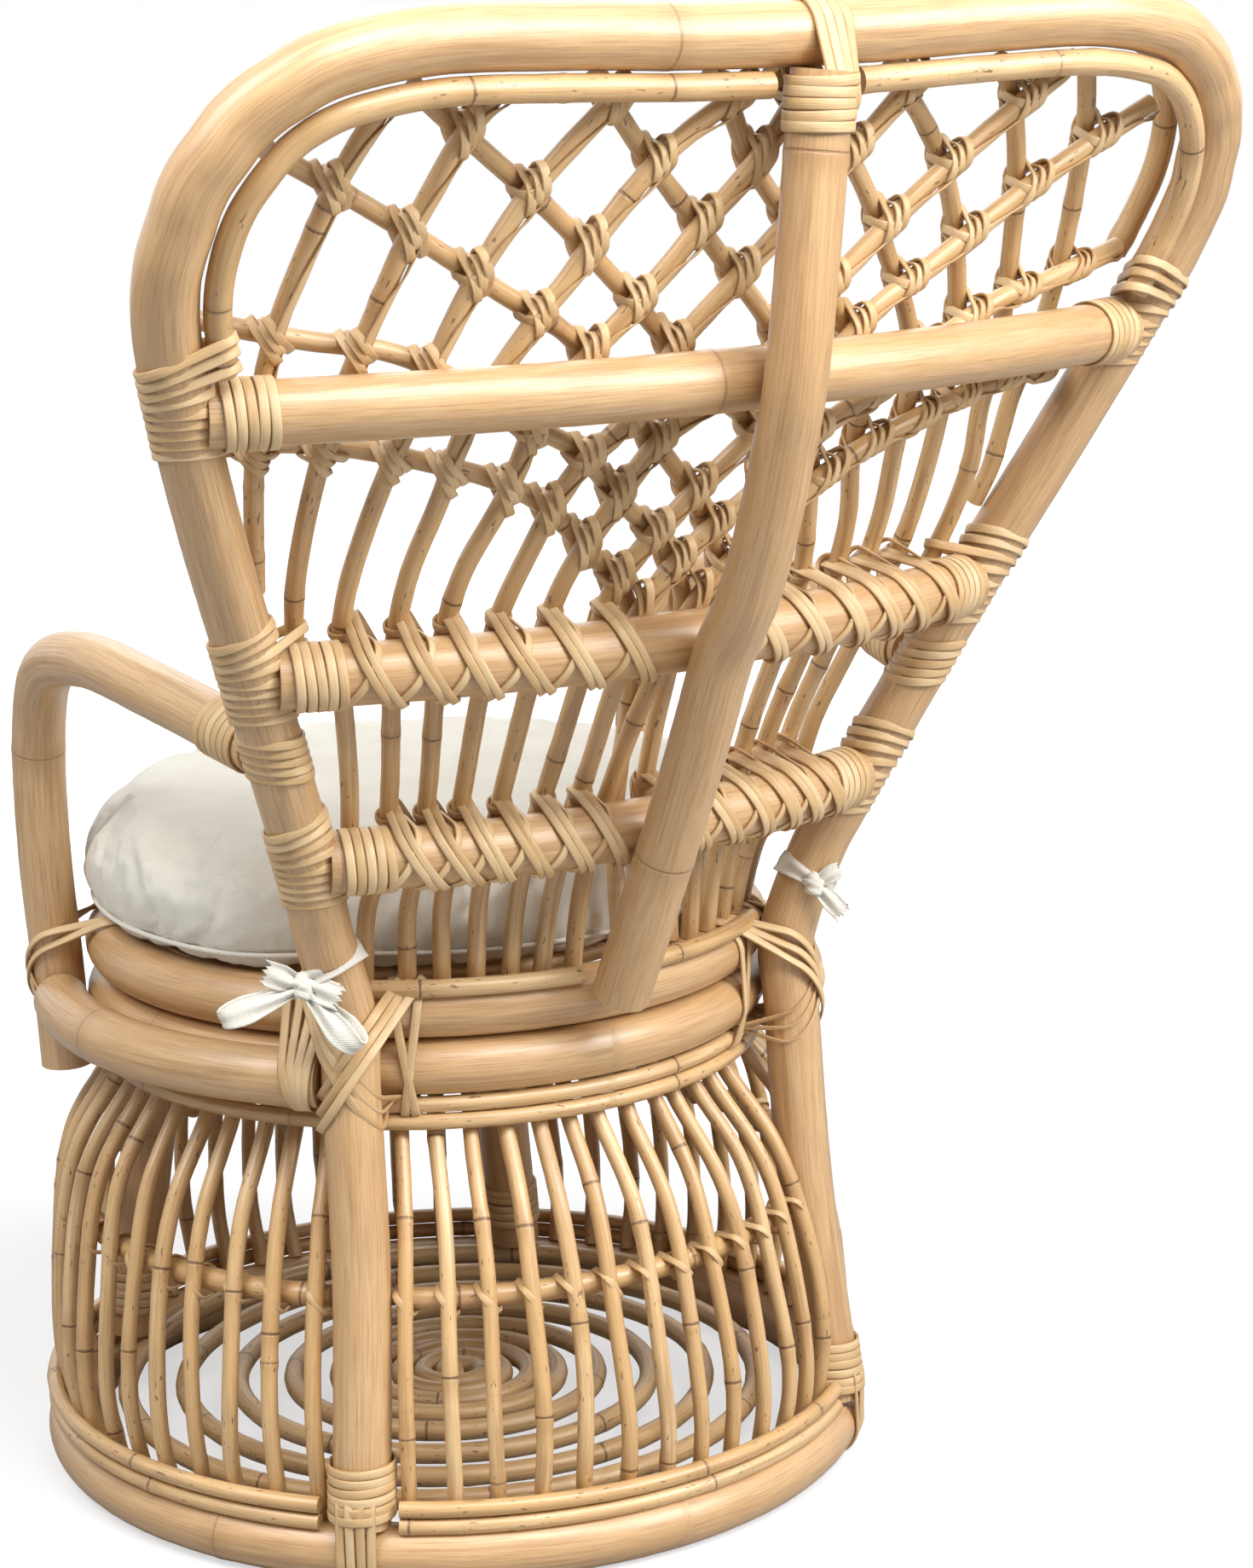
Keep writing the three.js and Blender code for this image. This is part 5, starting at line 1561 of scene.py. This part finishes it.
for side, grids, knotAt, size in (("left", leftGrids, leftKnot, (7.5, 9.5, 7.5)),
                                  ("right", rightGrids, rightKnot, (7, 8.5, 6.5))):
    ribbon = ribbonPiece(side + "TieRibbon", grids, "cushion_tie_" + side)
    lump = knotPiece(side + "TieKnot", knotAt + bowBack * 2, size, bow(1, 0.2))
    total, area = (sum(map(measure, grids)) for measure in (gridLength, gridArea))
    print(side, "tie length", round(total), "area share", round(area / (tie["width"] * total), 2))
print("ties made")


# Floor, light and camera.

floor = {"half": 7.0, "shade": 0.4, "glow": (0.5, 2.0, 0.6, 1.0)}
floorMesh = bpy.data.meshes.new("studioFloor")
floorMesh.from_pydata([(x * floor["half"], y * floor["half"], 0)
                       for x, y in ((-1, -1), (1, -1), (1, 1), (-1, 1))], [], [(0, 1, 2, 3)])
floorObject = newObject("studioFloor", floorMesh)
floorMaterial, floorTree, floorShader = newMaterial("paleFloor")
for label, value in (("Base Color", (floor["shade"],) * 3 + (1,)), ("Roughness", 0.9),
                     ("Specular IOR Level", 0.1)):
    floorShader.inputs[label].default_value = value
floorPlace = addNode(floorTree, "ShaderNodeTexCoord").outputs["Object"]
away = addNode(floorTree, "ShaderNodeVectorMath", {0: floorPlace}, operation="LENGTH")
seen = addNode(floorTree, "ShaderNodeLightPath").outputs["Is Camera Ray"]
glow = addNode(floorTree, "ShaderNodeEmission", {
    "Color": (1, 1, 1, 1),
    "Strength": sums(floorTree, "MULTIPLY", ranged(
        floorTree, away.outputs["Value"], *floor["glow"], True), seen)})
lit = addNode(floorTree, "ShaderNodeAddShader", {0: glow.outputs[0], 1: floorShader.outputs[0]})
plug(floorTree, floorTree.nodes["Material Output"].inputs["Surface"], lit.outputs[0])
floorMesh.materials.append(floorMaterial)

surroundings = {"fill": (0.93, 0.96, 1, 1), "strength": 0.17}
world = bpy.data.worlds.new("studioLight")
bpy.context.scene.world = world
world.use_nodes = True
worldTree = world.node_tree
worldTree.nodes.clear()
rays = worldTree.nodes.new("ShaderNodeLightPath").outputs
mirrorRays = sums(worldTree, "MAXIMUM", rays["Is Glossy Ray"], rays["Is Transmission Ray"])
fill = addNode(worldTree, "ShaderNodeBackground", {
    "Color": surroundings["fill"], "Strength": surroundings["strength"]})
backdrop = addNode(worldTree, "ShaderNodeBackground", {"Color": (1, 1, 1, 1), "Strength": 1.0})
mixed = addNode(worldTree, "ShaderNodeMixShader", {
    0: sums(worldTree, "MAXIMUM", rays["Is Camera Ray"], mirrorRays),
    1: fill.outputs[0], 2: backdrop.outputs[0]})
addNode(worldTree, "ShaderNodeOutputWorld", {0: mixed.outputs[0]})

lampAim = Vector((0, 0, 0.5))
lamps = {"window": {"at": (-1.5, 2.4, 2.1), "size": 1.4, "power": 82},
         "top": {"at": (0.0, 1.7, 2.7), "size": 1.3, "power": 62},
         "left": {"at": (1.7, 0.2, 2.5), "size": 1.5, "power": 53},
         "front": {"at": (-1.5, -3.0, 2.8), "size": 2.6, "power": 26}}
for name, lamp in lamps.items():
    light = bpy.data.lights.new(name + "Lamp", "AREA")
    light.size, light.energy = lamp["size"], lamp["power"]
    lampObject = newObject(name + "Lamp", light)
    lampObject.location = lamp["at"]
    aim = lampAim - Vector(lamp["at"])
    lampObject.rotation_euler = aim.to_track_quat("-Z", "Y").to_euler()

view = {"at": (1.2794, 2.1287, 1.0518), "azimuth": 147.01, "elevation": 12.81, "roll": -1.01,
        "lens": 87.02, "shift": -0.0087}
turn, rise, roll = (math.radians(view[k]) for k in ("azimuth", "elevation", "roll"))
back = Vector((math.sin(turn) * math.cos(rise), -math.cos(turn) * math.cos(rise), math.sin(rise)))
right = Vector((math.cos(turn), math.sin(turn), 0))
up = back.cross(right)
rolledRight = right * math.cos(roll) + up * math.sin(roll)
rolledUp = up * math.cos(roll) - right * math.sin(roll)
camera = bpy.data.cameras.new("photoCamera")
camera.lens, camera.sensor_width, camera.shift_y = view["lens"], 36, view["shift"]
cameraObject = newObject("photoCamera", camera)
cameraObject.matrix_world = Matrix.Translation(view["at"]) @ Matrix(
    (rolledRight, rolledUp, back)).transposed().to_4x4()
bpy.context.scene.camera = cameraObject
bpy.context.scene.view_settings.view_transform = "Standard"
print("stage and camera set")
